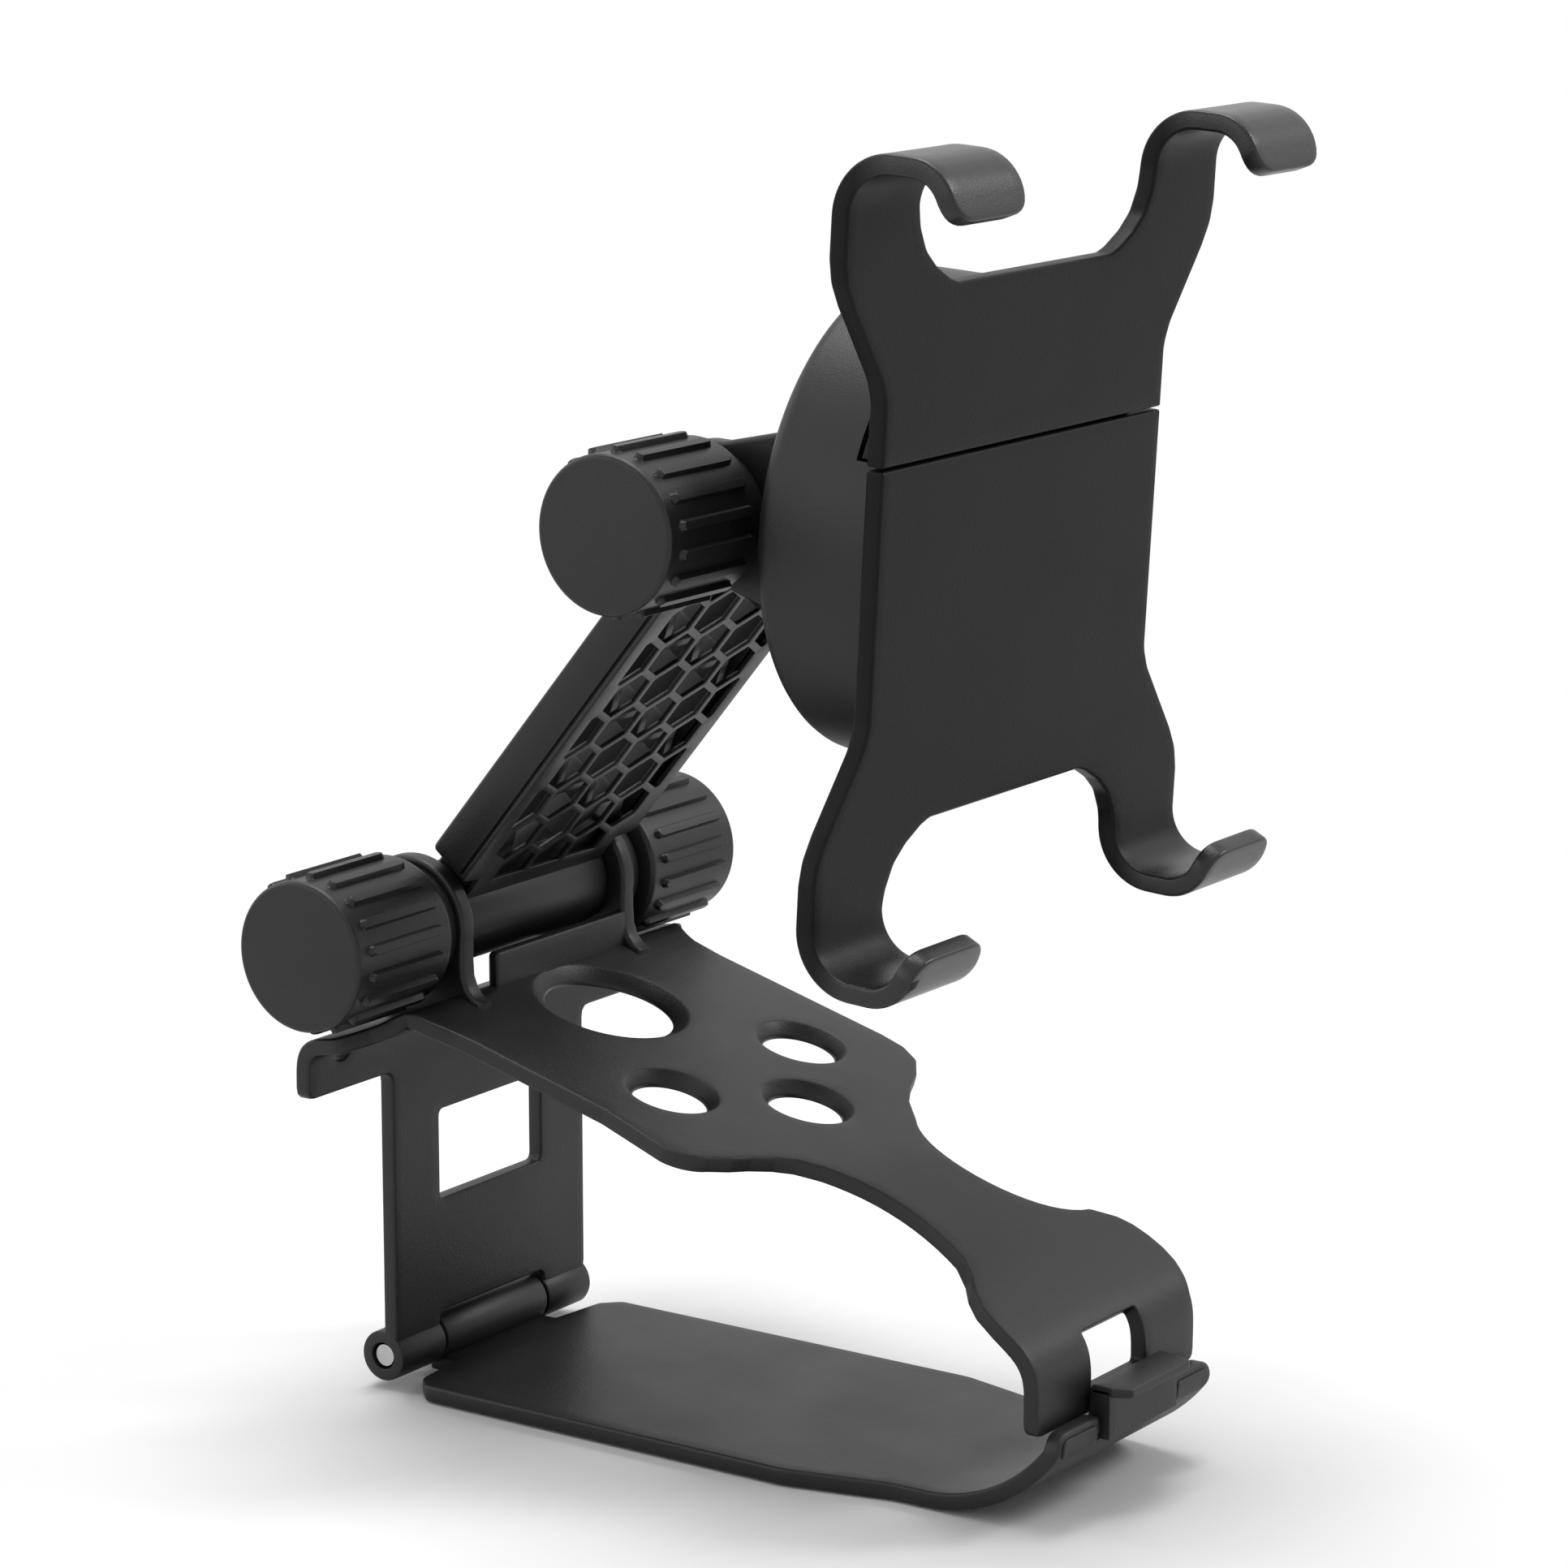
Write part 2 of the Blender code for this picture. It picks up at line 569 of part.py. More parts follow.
def make_strap(finish, parent, shift):
    """Lower strap: belly plate with one hinge knuckle behind and two ears in front."""
    strap = bent_sheet(strap_path(), -BELLY_HALF - 1, BELLY_HALF + 1, SHELL_THICKNESS)
    rear_y = PIN_Y - KNUCKLE_RADIUS - FRONT_GAP - 0.6
    taper = [(KNUCKLE_HALF, 8.0), (KNUCKLE_HALF, rear_y), (BELLY_HALF - 2, rear_y - 0.8),
             (BELLY_HALF, rear_y - 2.8), (BELLY_HALF, -STRAP_TAPER_START),
             (TONGUE_HALF, -STRAP_TAPER_END), (TONGUE_HALF, STRAP_FRONT - 4)]
    plan = taper + [(-x, y) for x, y in reversed(taper)]
    strap = combine(strap, level_plate([plan], BELLY_Z - 1, 0.0), "INTERSECT")
    front_view = upright([ear_outline()], STRAP_FRONT - 2, 9.0)
    strap = combine(strap, front_view, "INTERSECT")
    ear_inner = LATCH_HALF + FRONT_GAP
    for side in (-1, 1):
        boss = [(side * x, LATCH_PIN_Y, LATCH_PIN_Z) for x in (ear_inner + 0.1, ear_inner + 3.2)]
        strap = join(strap, rod(EAR_BOSS, *boss))
    strap = join(strap, rod(KNUCKLE_RADIUS, (-KNUCKLE_HALF + 0.05, PIN_Y, PIN_Z),
                            (KNUCKLE_HALF - 0.05, PIN_Y, PIN_Z)))
    pin_hole = rod(PIN_RADIUS + CLEARANCE, (-BELLY_HALF, PIN_Y, PIN_Z), (BELLY_HALF, PIN_Y, PIN_Z))
    reach = ear_inner + 2.4
    latch_hole = rod(LATCH_PIN_RADIUS + CLEARANCE, (-reach, LATCH_PIN_Y, LATCH_PIN_Z),
                     (reach, LATCH_PIN_Y, LATCH_PIN_Z), 16)
    strap = cut(strap, pin_hole, latch_hole)
    place(moved(strap, shift), "under_strap", finish, parent)
    half = WALL_HALF - 0.4
    pin = rod(PIN_RADIUS, (-half, PIN_Y, PIN_Z), (half, PIN_Y, PIN_Z))
    return moved(pin, shift), reach - CLEARANCE


def make_latch(finish, parent, shift):
    """Latch: a plate on a pin with a thumb shelf, and a pocket behind it for the spring."""
    back = STRAP_FRONT + SHELL_THICKNESS - CLEARANCE
    face = STRAP_FRONT - LATCH_PROUD
    front = STRAP_FRONT - SHELF_REACH
    foot = LATCH_PIN_Z - LATCH_KNUCKLE
    plate = block((-LATCH_HALF, face, foot), (LATCH_HALF, LATCH_PIN_Y, SHELF_TOP))
    stem = block((-LATCH_HALF, LATCH_PIN_Y - 0.1, LATCH_PIN_Z), (LATCH_HALF, back, SHELF_TOP))
    narrow = LATCH_HALF - SHELF_TAPER
    shelf = level_plate([[(-LATCH_HALF + 0.02, back - 0.2), (-LATCH_HALF + 0.02, face - 0.2), (-narrow, front),
                          (narrow, front), (LATCH_HALF - 0.02, face - 0.2), (LATCH_HALF - 0.02, back - 0.2)]],
                        SHELF_TOP - SHELF_THICKNESS, SHELF_TOP + 0.02)
    knuckle = rod(LATCH_KNUCKLE - 0.02, (-LATCH_HALF + 0.01, LATCH_PIN_Y, LATCH_PIN_Z),
                  (LATCH_HALF - 0.01, LATCH_PIN_Y, LATCH_PIN_Z))
    latch = join(plate, stem, shelf, knuckle)
    pocket = block((-SPRING_GAP_HALF, face + LATCH_SKIN, foot - 1),
                   (SPRING_GAP_HALF, back + 2, LATCH_PIN_Z + LATCH_KNUCKLE + 0.2))
    bore = rod(LATCH_PIN_RADIUS + CLEARANCE, (-LATCH_HALF - 1, LATCH_PIN_Y, LATCH_PIN_Z),
               (LATCH_HALF + 1, LATCH_PIN_Y, LATCH_PIN_Z), 16)
    place(moved(cut(latch, pocket, bore), shift), "latch", finish, parent)


def hexagon(centre, radius, first_angle):
    """Six corners round a centre."""
    return arc(centre, radius, first_angle, first_angle + 300, 5)


def clipped(outline, half_x, half_z):
    """The part of a convex outline that lies inside a rectangle round the origin."""
    for axis, limit in ((0, half_x), (1, half_z)):
        for sign in (-1, 1):
            kept = []
            for here, there in zip(outline, outline[1:] + outline[:1]):
                a, b = limit - sign * here[axis], limit - sign * there[axis]
                if a >= 0:
                    kept.append(here)
                if a * b < 0:
                    t = a / (a - b)
                    kept.append(tuple(p + t * (q - p) for p, q in zip(here, there)))
            outline = kept
    return outline


def cell_cutter(centres, radius, first_angle, low, high):
    """Six-sided cutters at the centres that reach into the panel's window."""
    half_x = ARM_WIDTH / 2 - PANEL_BORDER
    half_z = ARM_LENGTH / 2 - PANEL_END_BORDER
    outlines = []
    for centre in centres:
        outline = clipped(hexagon(centre, radius, first_angle), half_x, half_z)
        if len(outline) > 2:
            spread = [max(p[i] for p in outline) - min(p[i] for p in outline) for i in (0, 1)]
            if min(spread) > CELL_RIB:
                outlines.append([(x, z + ARM_LENGTH / 2) for x, z in outline])
    return upright(outlines, low, high)


def front_cells():
    """Centres of the small cells, in rows that shift by half a pitch."""
    step = CELL_PITCH * math.sqrt(3) / 2
    rows = round((ARM_LENGTH / 2 - PANEL_END_BORDER) / step)
    places = []
    for row in range(-rows, rows + 1):
        neck = abs(row) * step > ARM_LENGTH / 2 - SHOULDER - CELL_PITCH / 2
        reach = 1 if neck and row % 2 == 0 else 2
        for column in range(-reach - 1, reach + 2):
            x = column * CELL_PITCH + (CELL_PITCH / 2 if row % 2 else 0)
            if abs(x) <= reach * CELL_PITCH + 0.01:
                places.append((x, row * step))
    return places


def back_cells():
    """Centres of the large cells: every third small cell, three pitches apart in a row."""
    step = CELL_PITCH * math.sqrt(3) / 2
    rows = round((ARM_LENGTH / 2 - PANEL_END_BORDER) / step) - 1
    places = []
    for row in range(-rows, rows + 1):
        start = -CELL_PITCH / 2 if row % 2 else CELL_PITCH
        places += [(start + 3 * CELL_PITCH * m, row * step) for m in (-1, 0, 1)]
    return places


def make_arm(finish, parent):
    """Arm: a flat bar with a barrel at each end and a two-layer honeycomb panel."""
    full, neck = ARM_WIDTH / 2, BARREL_HALF - NECK_INSET
    low, high = SHOULDER - SHOULDER_SLOPE, ARM_LENGTH - SHOULDER + SHOULDER_SLOPE
    half = [(neck, 0.0), (neck, low), (full, SHOULDER), (full, ARM_LENGTH - SHOULDER),
            (neck, high), (neck, ARM_LENGTH)]
    front = ARM_SETBACK - ARM_THICKNESS / 2
    back = ARM_SETBACK + ARM_THICKNESS / 2
    arm = upright([half + [(-x, z) for x, z in reversed(half)]], front, back)
    for z in (0.0, ARM_LENGTH):
        arm = join(arm, rod(BARREL_RADIUS, (-BARREL_HALF, 0, z), (BARREL_HALF, 0, z), 32))
    inset = full - RIM_WIDTH
    recess = block((-inset, front - 1, SHOULDER + RIM_WIDTH),
                   (inset, front + RIM_HEIGHT, ARM_LENGTH - SHOULDER - RIM_WIDTH))
    layer = front + RIM_HEIGHT + FRONT_LAYER
    small = (CELL_PITCH - CELL_RIB) / math.sqrt(3)
    large = (CELL_PITCH * math.sqrt(3) - BACK_RIB) / math.sqrt(3)
    front_tool = cell_cutter(front_cells(), small, 30, front - 1, layer)
    back_tool = cell_cutter(back_cells(), large, 0, layer - PANEL_OVERCUT, back + 1)
    arm = cut(arm, recess, front_tool, back_tool)
    for z in (0.0, ARM_LENGTH):
        arm = cut(arm, rod(BOLT_HOLE, (-LUG_OUTER, 0, z), (LUG_OUTER, 0, z)))
    place(arm, "arm", finish, parent)


def knob_mesh():
    """Knob on +Z: a turned body with a blind bore and raised ribs with round ends."""
    bore = BOLT_GRIP + CLEARANCE
    profile = [(0, bore), (BOLT_HOLE, bore), (BOLT_HOLE, 0), (KNOB_RADIUS - KNOB_EDGE, 0),
               (KNOB_RADIUS, KNOB_EDGE), (KNOB_RADIUS, KNOB_LENGTH - KNOB_EDGE),
               (KNOB_RADIUS - KNOB_EDGE * 0.3, KNOB_LENGTH - KNOB_EDGE * 0.3),
               (KNOB_RADIUS - KNOB_EDGE, KNOB_LENGTH), (0, KNOB_LENGTH + KNOB_DOME)]
    body = turned(profile, KNOB_STEPS)
    low, high = RIB_END, KNOB_LENGTH - RIB_START
    r = RIB_WIDTH / 2
    stadium = arc((0, high - r), r, 0, 180, 3) + arc((0, low + r), r, 180, 360, 3)
    ribs = []
    for i in range(RIB_COUNT):
        turn = Matrix.Rotation(2 * math.pi * (i + 0.5) / RIB_COUNT, 4, "Z")
        rib = upright([stadium], -KNOB_RADIUS - RIB_HEIGHT, -KNOB_RADIUS + RIB_HEIGHT)
        ribs.append(moved(rib, turn))
    knob = join(body, grouped(ribs))
    mesh = knob.data.copy()
    bpy.data.objects.remove(knob)
    return mesh


def make_hinge(prefix, mesh, finishes, parent):
    """Bolt, two bushes and two knobs of one hinge; the left ones mirror the right ones."""
    bolt = rod(BOLT_RADIUS, (-BOLT_HALF, 0, 0), (BOLT_HALF, 0, 0), 20)
    place(bolt, prefix + "_bolt", finishes["steel"], parent)
    ring = [(BOLT_HOLE, 0), (BUSH_RADIUS, 0), (BUSH_RADIUS, BUSH_WIDTH), (BOLT_HOLE, BUSH_WIDTH)]
    for side, name in ((-1, "left"), (1, "right")):
        turn = Matrix.Rotation(math.radians(90 * side), 4, "Y")
        bush = moved(turned(ring, 28, closed=True), Matrix.Translation((side * BUSH_START, 0, 0)) @ turn)
        place(bush, prefix + "_bush_" + name, finishes["rubber"], parent)
        knob = work_object("knob", mesh.copy())
        knob = moved(knob, Matrix.Translation((side * KNOB_START, 0, 0)) @ turn)
        place(knob, prefix + "_knob_" + name, finishes["knob"], parent)


def make_drum(finish, parent):
    """Drum: an open cup with two flared lugs behind and rod bosses. Above the split its rim
    is lower, because the carriage carries that part of the wall."""
    profile = [(0, DRUM_FLOOR), (DRUM_BORE, DRUM_FLOOR), (DRUM_BORE, SHELL_FRONT),
               (DRUM_RADIUS, SHELL_FRONT)]
    profile += arc((DRUM_RADIUS - DRUM_EDGE, DRUM_BACK + DRUM_EDGE), DRUM_EDGE, 0, -90, 4)
    profile.append((0, DRUM_BACK))
    face = Matrix.Rotation(math.radians(90), 4, "X")
    drum = moved(turned(profile, DRUM_STEPS), face)
    depth = DRUM_BACK + DRUM_WALL / 2
    high = LUG_RADIUS - 0.2 + FLARE * (depth - FLARE_START)
    head = arc((0, 0), LUG_RADIUS - 0.2, 90, -90, 12)
    outline = [(-depth, high), (-FLARE_START, LUG_RADIUS - 0.2)] + head
    outline += [(-FLARE_START, -LUG_RADIUS + 0.2), (-depth, -high)]
    for side in (-1, 1):
        ends = sorted((side * LUG_INNER, side * LUG_OUTER))
        drum = join(drum, side_plate([outline], *ends))
    top_back = -SLIDE_BACK + SLIDE_GAP
    half = ROD_X + ROD_RADIUS + 1.6
    rim = [DRUM_BORE + DRUM_WALL / 2, -DRUM_BORE - DRUM_WALL / 2]
    for low, high in ((ROD_HEAD, rim[0]), (rim[1], -ROD_FOOT)):
        edge = max(abs(low), abs(high))
        reach = min(half, math.sqrt(max(edge ** 2 - max(abs(low), abs(high)) ** 2, half ** 2)))
        boss = block((-reach, top_back, low), (reach, -DRUM_FLOOR + 0.5, high))
        ring = rod(DRUM_RADIUS - DRUM_WALL / 2, (0, -SHELL_FRONT, 0), (0, -DRUM_BACK - 0.5, 0), 64)
        boss = combine(boss, ring, "INTERSECT")
        drum = join(drum, boss)
    step = block((-DRUM_RADIUS - 2, -SHELL_FRONT - 1, SKIRT_FOOT - CLEARANCE),
                 (DRUM_RADIUS + 2, top_back, DRUM_RADIUS + 2))
    sockets = grouped([
        rod(ROD_RADIUS + CLEARANCE, (side * ROD_X, -ROD_DEPTH, -ROD_FOOT - 1.2),
            (side * ROD_X, -ROD_DEPTH, ROD_HEAD + 3.2), 20) for side in (-1, 1)])
    screws = []
    for x, z in SCREW_PLACES:
        for side in (-1, 1):
            screws.append(moved(turned([
                (0, DRUM_BACK - 1), (SCREW_HEAD_RADIUS + CLEARANCE, DRUM_BACK - 1),
                (SCREW_HEAD_RADIUS + CLEARANCE, DRUM_BACK + SCREW_SINK + CLEARANCE),
                (SCREW_RADIUS + CLEARANCE, DRUM_BACK + SCREW_SINK + CLEARANCE),
                (SCREW_RADIUS + CLEARANCE, DRUM_FLOOR + 1), (0, DRUM_FLOOR + 1)], 20),
                Matrix.Translation((side * x, 0, z)) @ face))
    bolt_hole = rod(BOLT_HOLE, (-BOLT_HALF, 0, 0), (BOLT_HALF, 0, 0))
    place(cut(drum, step, sockets, grouped(screws), bolt_hole), "drum_housing", finish, parent)


def claw_path():
    """Middle line of a claw from the plate's plane: up, forward, and down into a lip."""
    depth = PLATE_BACK + PLATE_THICKNESS / 2
    first = arc((depth + CLAW_BEND, 0.0), CLAW_BEND, 180, 90, 6)
    second = arc((depth + CLAW_BEND + CLAW_RUN, CLAW_BEND - CLAW_LIP_BEND), CLAW_LIP_BEND,
                 90, 90 - CLAW_LIP_ANGLE, 5)
    lean = math.radians(90 - CLAW_LIP_ANGLE)
    path = first + second
    for run in (CLAW_LIP - CLAW_CORNER * 0.5, CLAW_LIP - CLAW_CORNER * 0.15, CLAW_LIP):
        path.append((second[-1][0] + run * math.sin(lean), second[-1][1] - run * math.cos(lean)))
    return path


def claw_sheet(outline, up):
    """A plate with two claws as one bent sheet; up is 1 for claws at the top, else -1."""
    form = bmesh.new()
    depth = PLATE_BACK + PLATE_THICKNESS / 2
    corners = [form.verts.new((x, -depth, z)) for x, z in outline]
    form.faces.new(corners)
    narrowing = [0.0] * (len(claw_path()) - 3) + [CLAW_CORNER * f for f in (0.1, 0.4, 0.85)]
    for side in (-1, 1):
        row = [v for x in (CLAW_INNER, CLAW_OUTER) for v in corners
               if abs(v.co.x - side * x) < 0.001 and abs(v.co.z - up * CLAW_HEIGHT) < 0.001]
        for (d, z), cut_in in list(zip(claw_path(), narrowing))[1:]:
            next_row = [form.verts.new((side * x, -d, up * (CLAW_HEIGHT + z)))
                        for x in (CLAW_INNER + cut_in, CLAW_OUTER - cut_in)]
            form.faces.new((row[0], row[1], next_row[1], next_row[0]))
            row = next_row
    bmesh.ops.recalc_face_normals(form, faces=form.faces)
    mesh = bpy.data.meshes.new("claws")
    form.to_mesh(mesh)
    form.free()
    piece = work_object("claws", mesh)
    wall = piece.modifiers.new("wall", "SOLIDIFY")
    wall.thickness = PLATE_THICKNESS
    wall.offset = 0.0
    wall.use_even_offset = True
    return settle(piece)


def plate_outline(edge, base, up):
    """Half of a clamp plate from its straight base over the flared arm to the top edge."""
    flare = [(PLATE_HALF, base), (PLATE_HALF, WAIST), (PLATE_HALF + 0.9, WAIST + 2.2),
             (CLAW_OUTER - 1.9, WAIST + 9.6), (CLAW_OUTER - 0.5, WAIST + 12.0),
             (CLAW_OUTER, WAIST + 14.4), (CLAW_OUTER, CLAW_HEIGHT)]
    inner = [(CLAW_INNER, CLAW_HEIGHT), (CLAW_INNER - 0.35, edge + 6.0), (CLAW_INNER - 1.6, edge + 3.6),
             (CLAW_INNER - 3.6, edge + 1.9), (NOTCH_HALF + 1.6, edge + 0.5), (NOTCH_HALF, edge)]
    half = [(x, up * z) for x, z in flare + inner]
    return half + [(-x, z) for x, z in reversed(half)]


def make_carriage(finish, parent):
    """Carriage: upper plate with claws, a skirt that carries on the drum's wall, a tongue
    behind it and a slider on two rods."""
    base = SPLIT_HEIGHT + CLEARANCE / 2
    carriage = claw_sheet(plate_outline(TOP_EDGE, base, 1), 1)
    slider_top = -ROD_FOOT + CLEARANCE + SLIDER_HEIGHT
    slider_foot = -ROD_FOOT + CLEARANCE
    tongue = block((-TONGUE_WIDTH_HALF, -SLIDE_FRONT, slider_foot),
                   (TONGUE_WIDTH_HALF, -SLIDE_BACK, base + 9.0))
    pad = block((-TONGUE_WIDTH_HALF, -PLATE_BACK - 0.4, base + 0.6),
                (TONGUE_WIDTH_HALF, -SLIDE_BACK - 0.4, base + 9.0))
    slider = block((-SLIDER_HALF, -SLIDE_BACK - 0.4, slider_foot + 0.3),
                   (SLIDER_HALF, -ROD_DEPTH + ROD_RADIUS + 1.8, slider_top))
    bores = grouped([
        rod(ROD_RADIUS + CLEARANCE, (side * ROD_X, -ROD_DEPTH, slider_foot - 1),
            (side * ROD_X, -ROD_DEPTH, slider_top + 1), 20) for side in (-1, 1)])
    skirt = cut(rod(DRUM_RADIUS, (0, -PLATE_BACK - 0.4, 0), (0, -SLIDE_BACK, 0), DRUM_STEPS),
                rod(DRUM_BORE, (0, -PLATE_BACK - 2, 0), (0, -SLIDE_BACK + 1, 0), DRUM_STEPS))
    above = block((-DRUM_RADIUS - 2, -PLATE_BACK - 2, SKIRT_FOOT), (DRUM_RADIUS + 2, 0, DRUM_RADIUS + 2))
    skirt = combine(skirt, above, "INTERSECT")
    carriage = cut(join(carriage, tongue, pad, slider, skirt), bores)
    place(carriage, "carriage", finish, parent)


def make_lower_plate(finish, parent):
    """Lower plate: fixed half of the clamp, with screw bosses that reach into the drum."""
    base = -SPLIT_HEIGHT + CLEARANCE / 2
    plate = claw_sheet(plate_outline(BOTTOM_EDGE, base, -1), -1)
    back = -DRUM_FLOOR - CLEARANCE
    for x, z in SCREW_PLACES:
        for side in (-1, 1):
            boss = rod(BOSS_RADIUS, (side * x, -PLATE_BACK - 0.5, z), (side * x, back, z), 20)
            bore = rod(SCREW_RADIUS + CLEARANCE, (side * x, -PLATE_BACK + 2, z), (side * x, back + 1, z), 16)
            plate = join(plate, cut(boss, bore))
    place(plate, "lower_plate", finish, parent)


def make_clamp_works(finishes, parent):
    """Guide rods, springs and screws inside the drum."""
    slider_top = -ROD_FOOT + CLEARANCE + SLIDER_HEIGHT
    for side, name in ((-1, "left"), (1, "right")):
        x = side * ROD_X
        guide = rod(ROD_RADIUS, (x, -ROD_DEPTH, -ROD_FOOT - 0.9), (x, -ROD_DEPTH, ROD_HEAD + 2.9), 20)
        place(guide, "guide_rod_" + name, finishes["steel"], parent)
        low = slider_top + SPRING_WIRE + CLEARANCE
        high = ROD_HEAD - SPRING_WIRE - CLEARANCE
        spring = coil((x, -ROD_DEPTH, low), SPRING_COIL, SPRING_WIRE, SPRING_TURNS, high - low, (0, 0, 1))
        place(spring, "clamp_spring_" + name, finishes["steel"], parent)
    face = Matrix.Rotation(math.radians(90), 4, "X")
    tip = PLATE_BACK - 3.0
    for row, (x, z) in zip(("upper", "lower"), SCREW_PLACES):
        for side, name in ((-1, "left"), (1, "right")):
            screw = turned([(0, DRUM_BACK), (SCREW_HEAD_RADIUS, DRUM_BACK),
                            (SCREW_HEAD_RADIUS, DRUM_BACK + SCREW_SINK),
                            (SCREW_RADIUS, DRUM_BACK + SCREW_SINK), (SCREW_RADIUS, tip), (0, tip)], 16)
            screw = moved(screw, Matrix.Translation((side * x, 0, z)) @ face)
            place(screw, "housing_screw_" + row + "_" + name, finishes["steel"], parent)


def main():
    """Build every piece and hang it on the empty of its hinge."""
    clear_scene()
    finishes = {
        "shell": material("black_abs_shell", (0.028, 0.028, 0.029), 0.55),
        "arm": material("black_abs_arm", (0.026, 0.026, 0.027), 0.5),
        "knob": material("black_knob_plastic", (0.03, 0.03, 0.031), 0.5),
        "clamp": material("black_clamp_plastic", (0.024, 0.024, 0.025), 0.6),
        "rubber": material("black_bush_rubber", (0.012, 0.012, 0.012), 0.8),
        "steel": material("zinc_plated_steel", (0.55, 0.55, 0.56), 0.35, 1.0),
    }
    lower = (0, AXIS_Y, AXIS_Z)
    base = pivot("base_frame", lower)
    strap = pivot("strap_pivot", (0, PIN_Y, PIN_Z), parent=base)
    latch = pivot("latch_pivot", (0, LATCH_PIN_Y - PIN_Y, LATCH_PIN_Z - PIN_Z), parent=strap)
    arm = pivot("arm_pivot", (0, 0, 0), ARM_TILT, base)
    holder = pivot("holder_pivot", (0, 0, ARM_LENGTH), HOLDER_TILT - ARM_TILT, arm)
    carriage = pivot("carriage_slide", (0, 0, 0), parent=holder)

    knob = knob_mesh()
    make_faceplate(finishes["shell"], base)
    make_hinge("lower", knob, finishes, base)
    to_pin = Matrix.Translation((0, -PIN_Y, -PIN_Z))
    strap_pin, latch_pin_half = make_strap(finishes["shell"], strap, to_pin)
    place(strap_pin, "strap_pin", finishes["steel"], strap)
    latch_pin = rod(LATCH_PIN_RADIUS, (-latch_pin_half, LATCH_PIN_Y, LATCH_PIN_Z),
                    (latch_pin_half, LATCH_PIN_Y, LATCH_PIN_Z), 16)
    place(moved(latch_pin, to_pin), "latch_pin", finishes["steel"], strap)
    length = 2 * (SPRING_GAP_HALF - LATCH_WIRE - CLEARANCE)
    spring = coil((-length / 2, LATCH_PIN_Y, LATCH_PIN_Z), LATCH_COIL, LATCH_WIRE, LATCH_TURNS,
                  length, (1, 0, 0))
    place(moved(spring, to_pin), "latch_spring", finishes["steel"], strap)
    make_latch(finishes["shell"], latch, Matrix.Translation((0, -LATCH_PIN_Y, -LATCH_PIN_Z)))
    make_arm(finishes["arm"], arm)
    make_hinge("upper", knob, finishes, holder)
    make_drum(finishes["clamp"], holder)
    make_lower_plate(finishes["clamp"], holder)
    make_clamp_works(finishes, holder)
    make_carriage(finishes["clamp"], carriage)


main()
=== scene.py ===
import math

import bmesh
import bpy
import numpy as np
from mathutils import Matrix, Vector
from mathutils.geometry import delaunay_2d_cdt


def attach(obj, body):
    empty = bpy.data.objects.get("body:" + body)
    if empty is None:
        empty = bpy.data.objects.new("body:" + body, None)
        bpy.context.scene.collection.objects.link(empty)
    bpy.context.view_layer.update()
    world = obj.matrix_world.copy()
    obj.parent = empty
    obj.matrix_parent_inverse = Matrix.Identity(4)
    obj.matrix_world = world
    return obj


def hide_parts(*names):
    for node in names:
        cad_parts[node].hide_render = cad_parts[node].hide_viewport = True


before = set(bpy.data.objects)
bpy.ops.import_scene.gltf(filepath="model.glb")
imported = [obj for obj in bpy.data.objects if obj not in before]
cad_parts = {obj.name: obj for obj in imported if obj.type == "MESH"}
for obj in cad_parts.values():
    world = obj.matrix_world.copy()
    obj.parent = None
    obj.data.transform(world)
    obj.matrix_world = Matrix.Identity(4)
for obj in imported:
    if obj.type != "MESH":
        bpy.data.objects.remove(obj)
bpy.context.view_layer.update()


# Upper shell. One ABS moulding with a rear wall, a sloping face with four bevelled round
# holes, and a front tongue. It is injection moulded in a spark-eroded tool, so it is matt,
# and its rims are softly rounded. Sizes are in millimetres, and mm sets them in metres.

mm = 0.001


def along_arc(centre, radius, start, end, count):
    """Points of a circle: centre plus radius times cosine and sine of angles in degrees."""
    angle = np.radians(np.linspace(start, end, count))
    return np.stack([centre[0] + radius * np.cos(angle), centre[1] + radius * np.sin(angle)], -1)


def measured(path, closed=False):
    """A line's points, with the first once more at the end of a closed one, and the distance
    along the line from its first point to each of them."""
    ends = np.concatenate([path, path[:1]]) if closed else path
    return ends, np.concatenate([[0], np.cumsum(np.hypot(*np.diff(ends, axis=0).T))])


def at_distances(places, run, line):
    """Points of a line at distances along it, taken straight between its own points."""
    return np.stack([np.interp(places, run, line[:, i]) for i in (0, 1)], -1)


def dense(outline, step):
    """The closed outline with its own corners and a point every step between them, save
    where that point would lie nearer than 0.35 of a step to a corner."""
    ends, run = measured(outline, closed=True)
    extra = np.arange(step, run[-1], step)
    nearest = np.abs(extra[:, None] - run[None, :]).min(1)
    places = np.sort(np.concatenate([run[:-1], extra[nearest > 0.35 * step]]))
    return at_distances(places, run, ends)


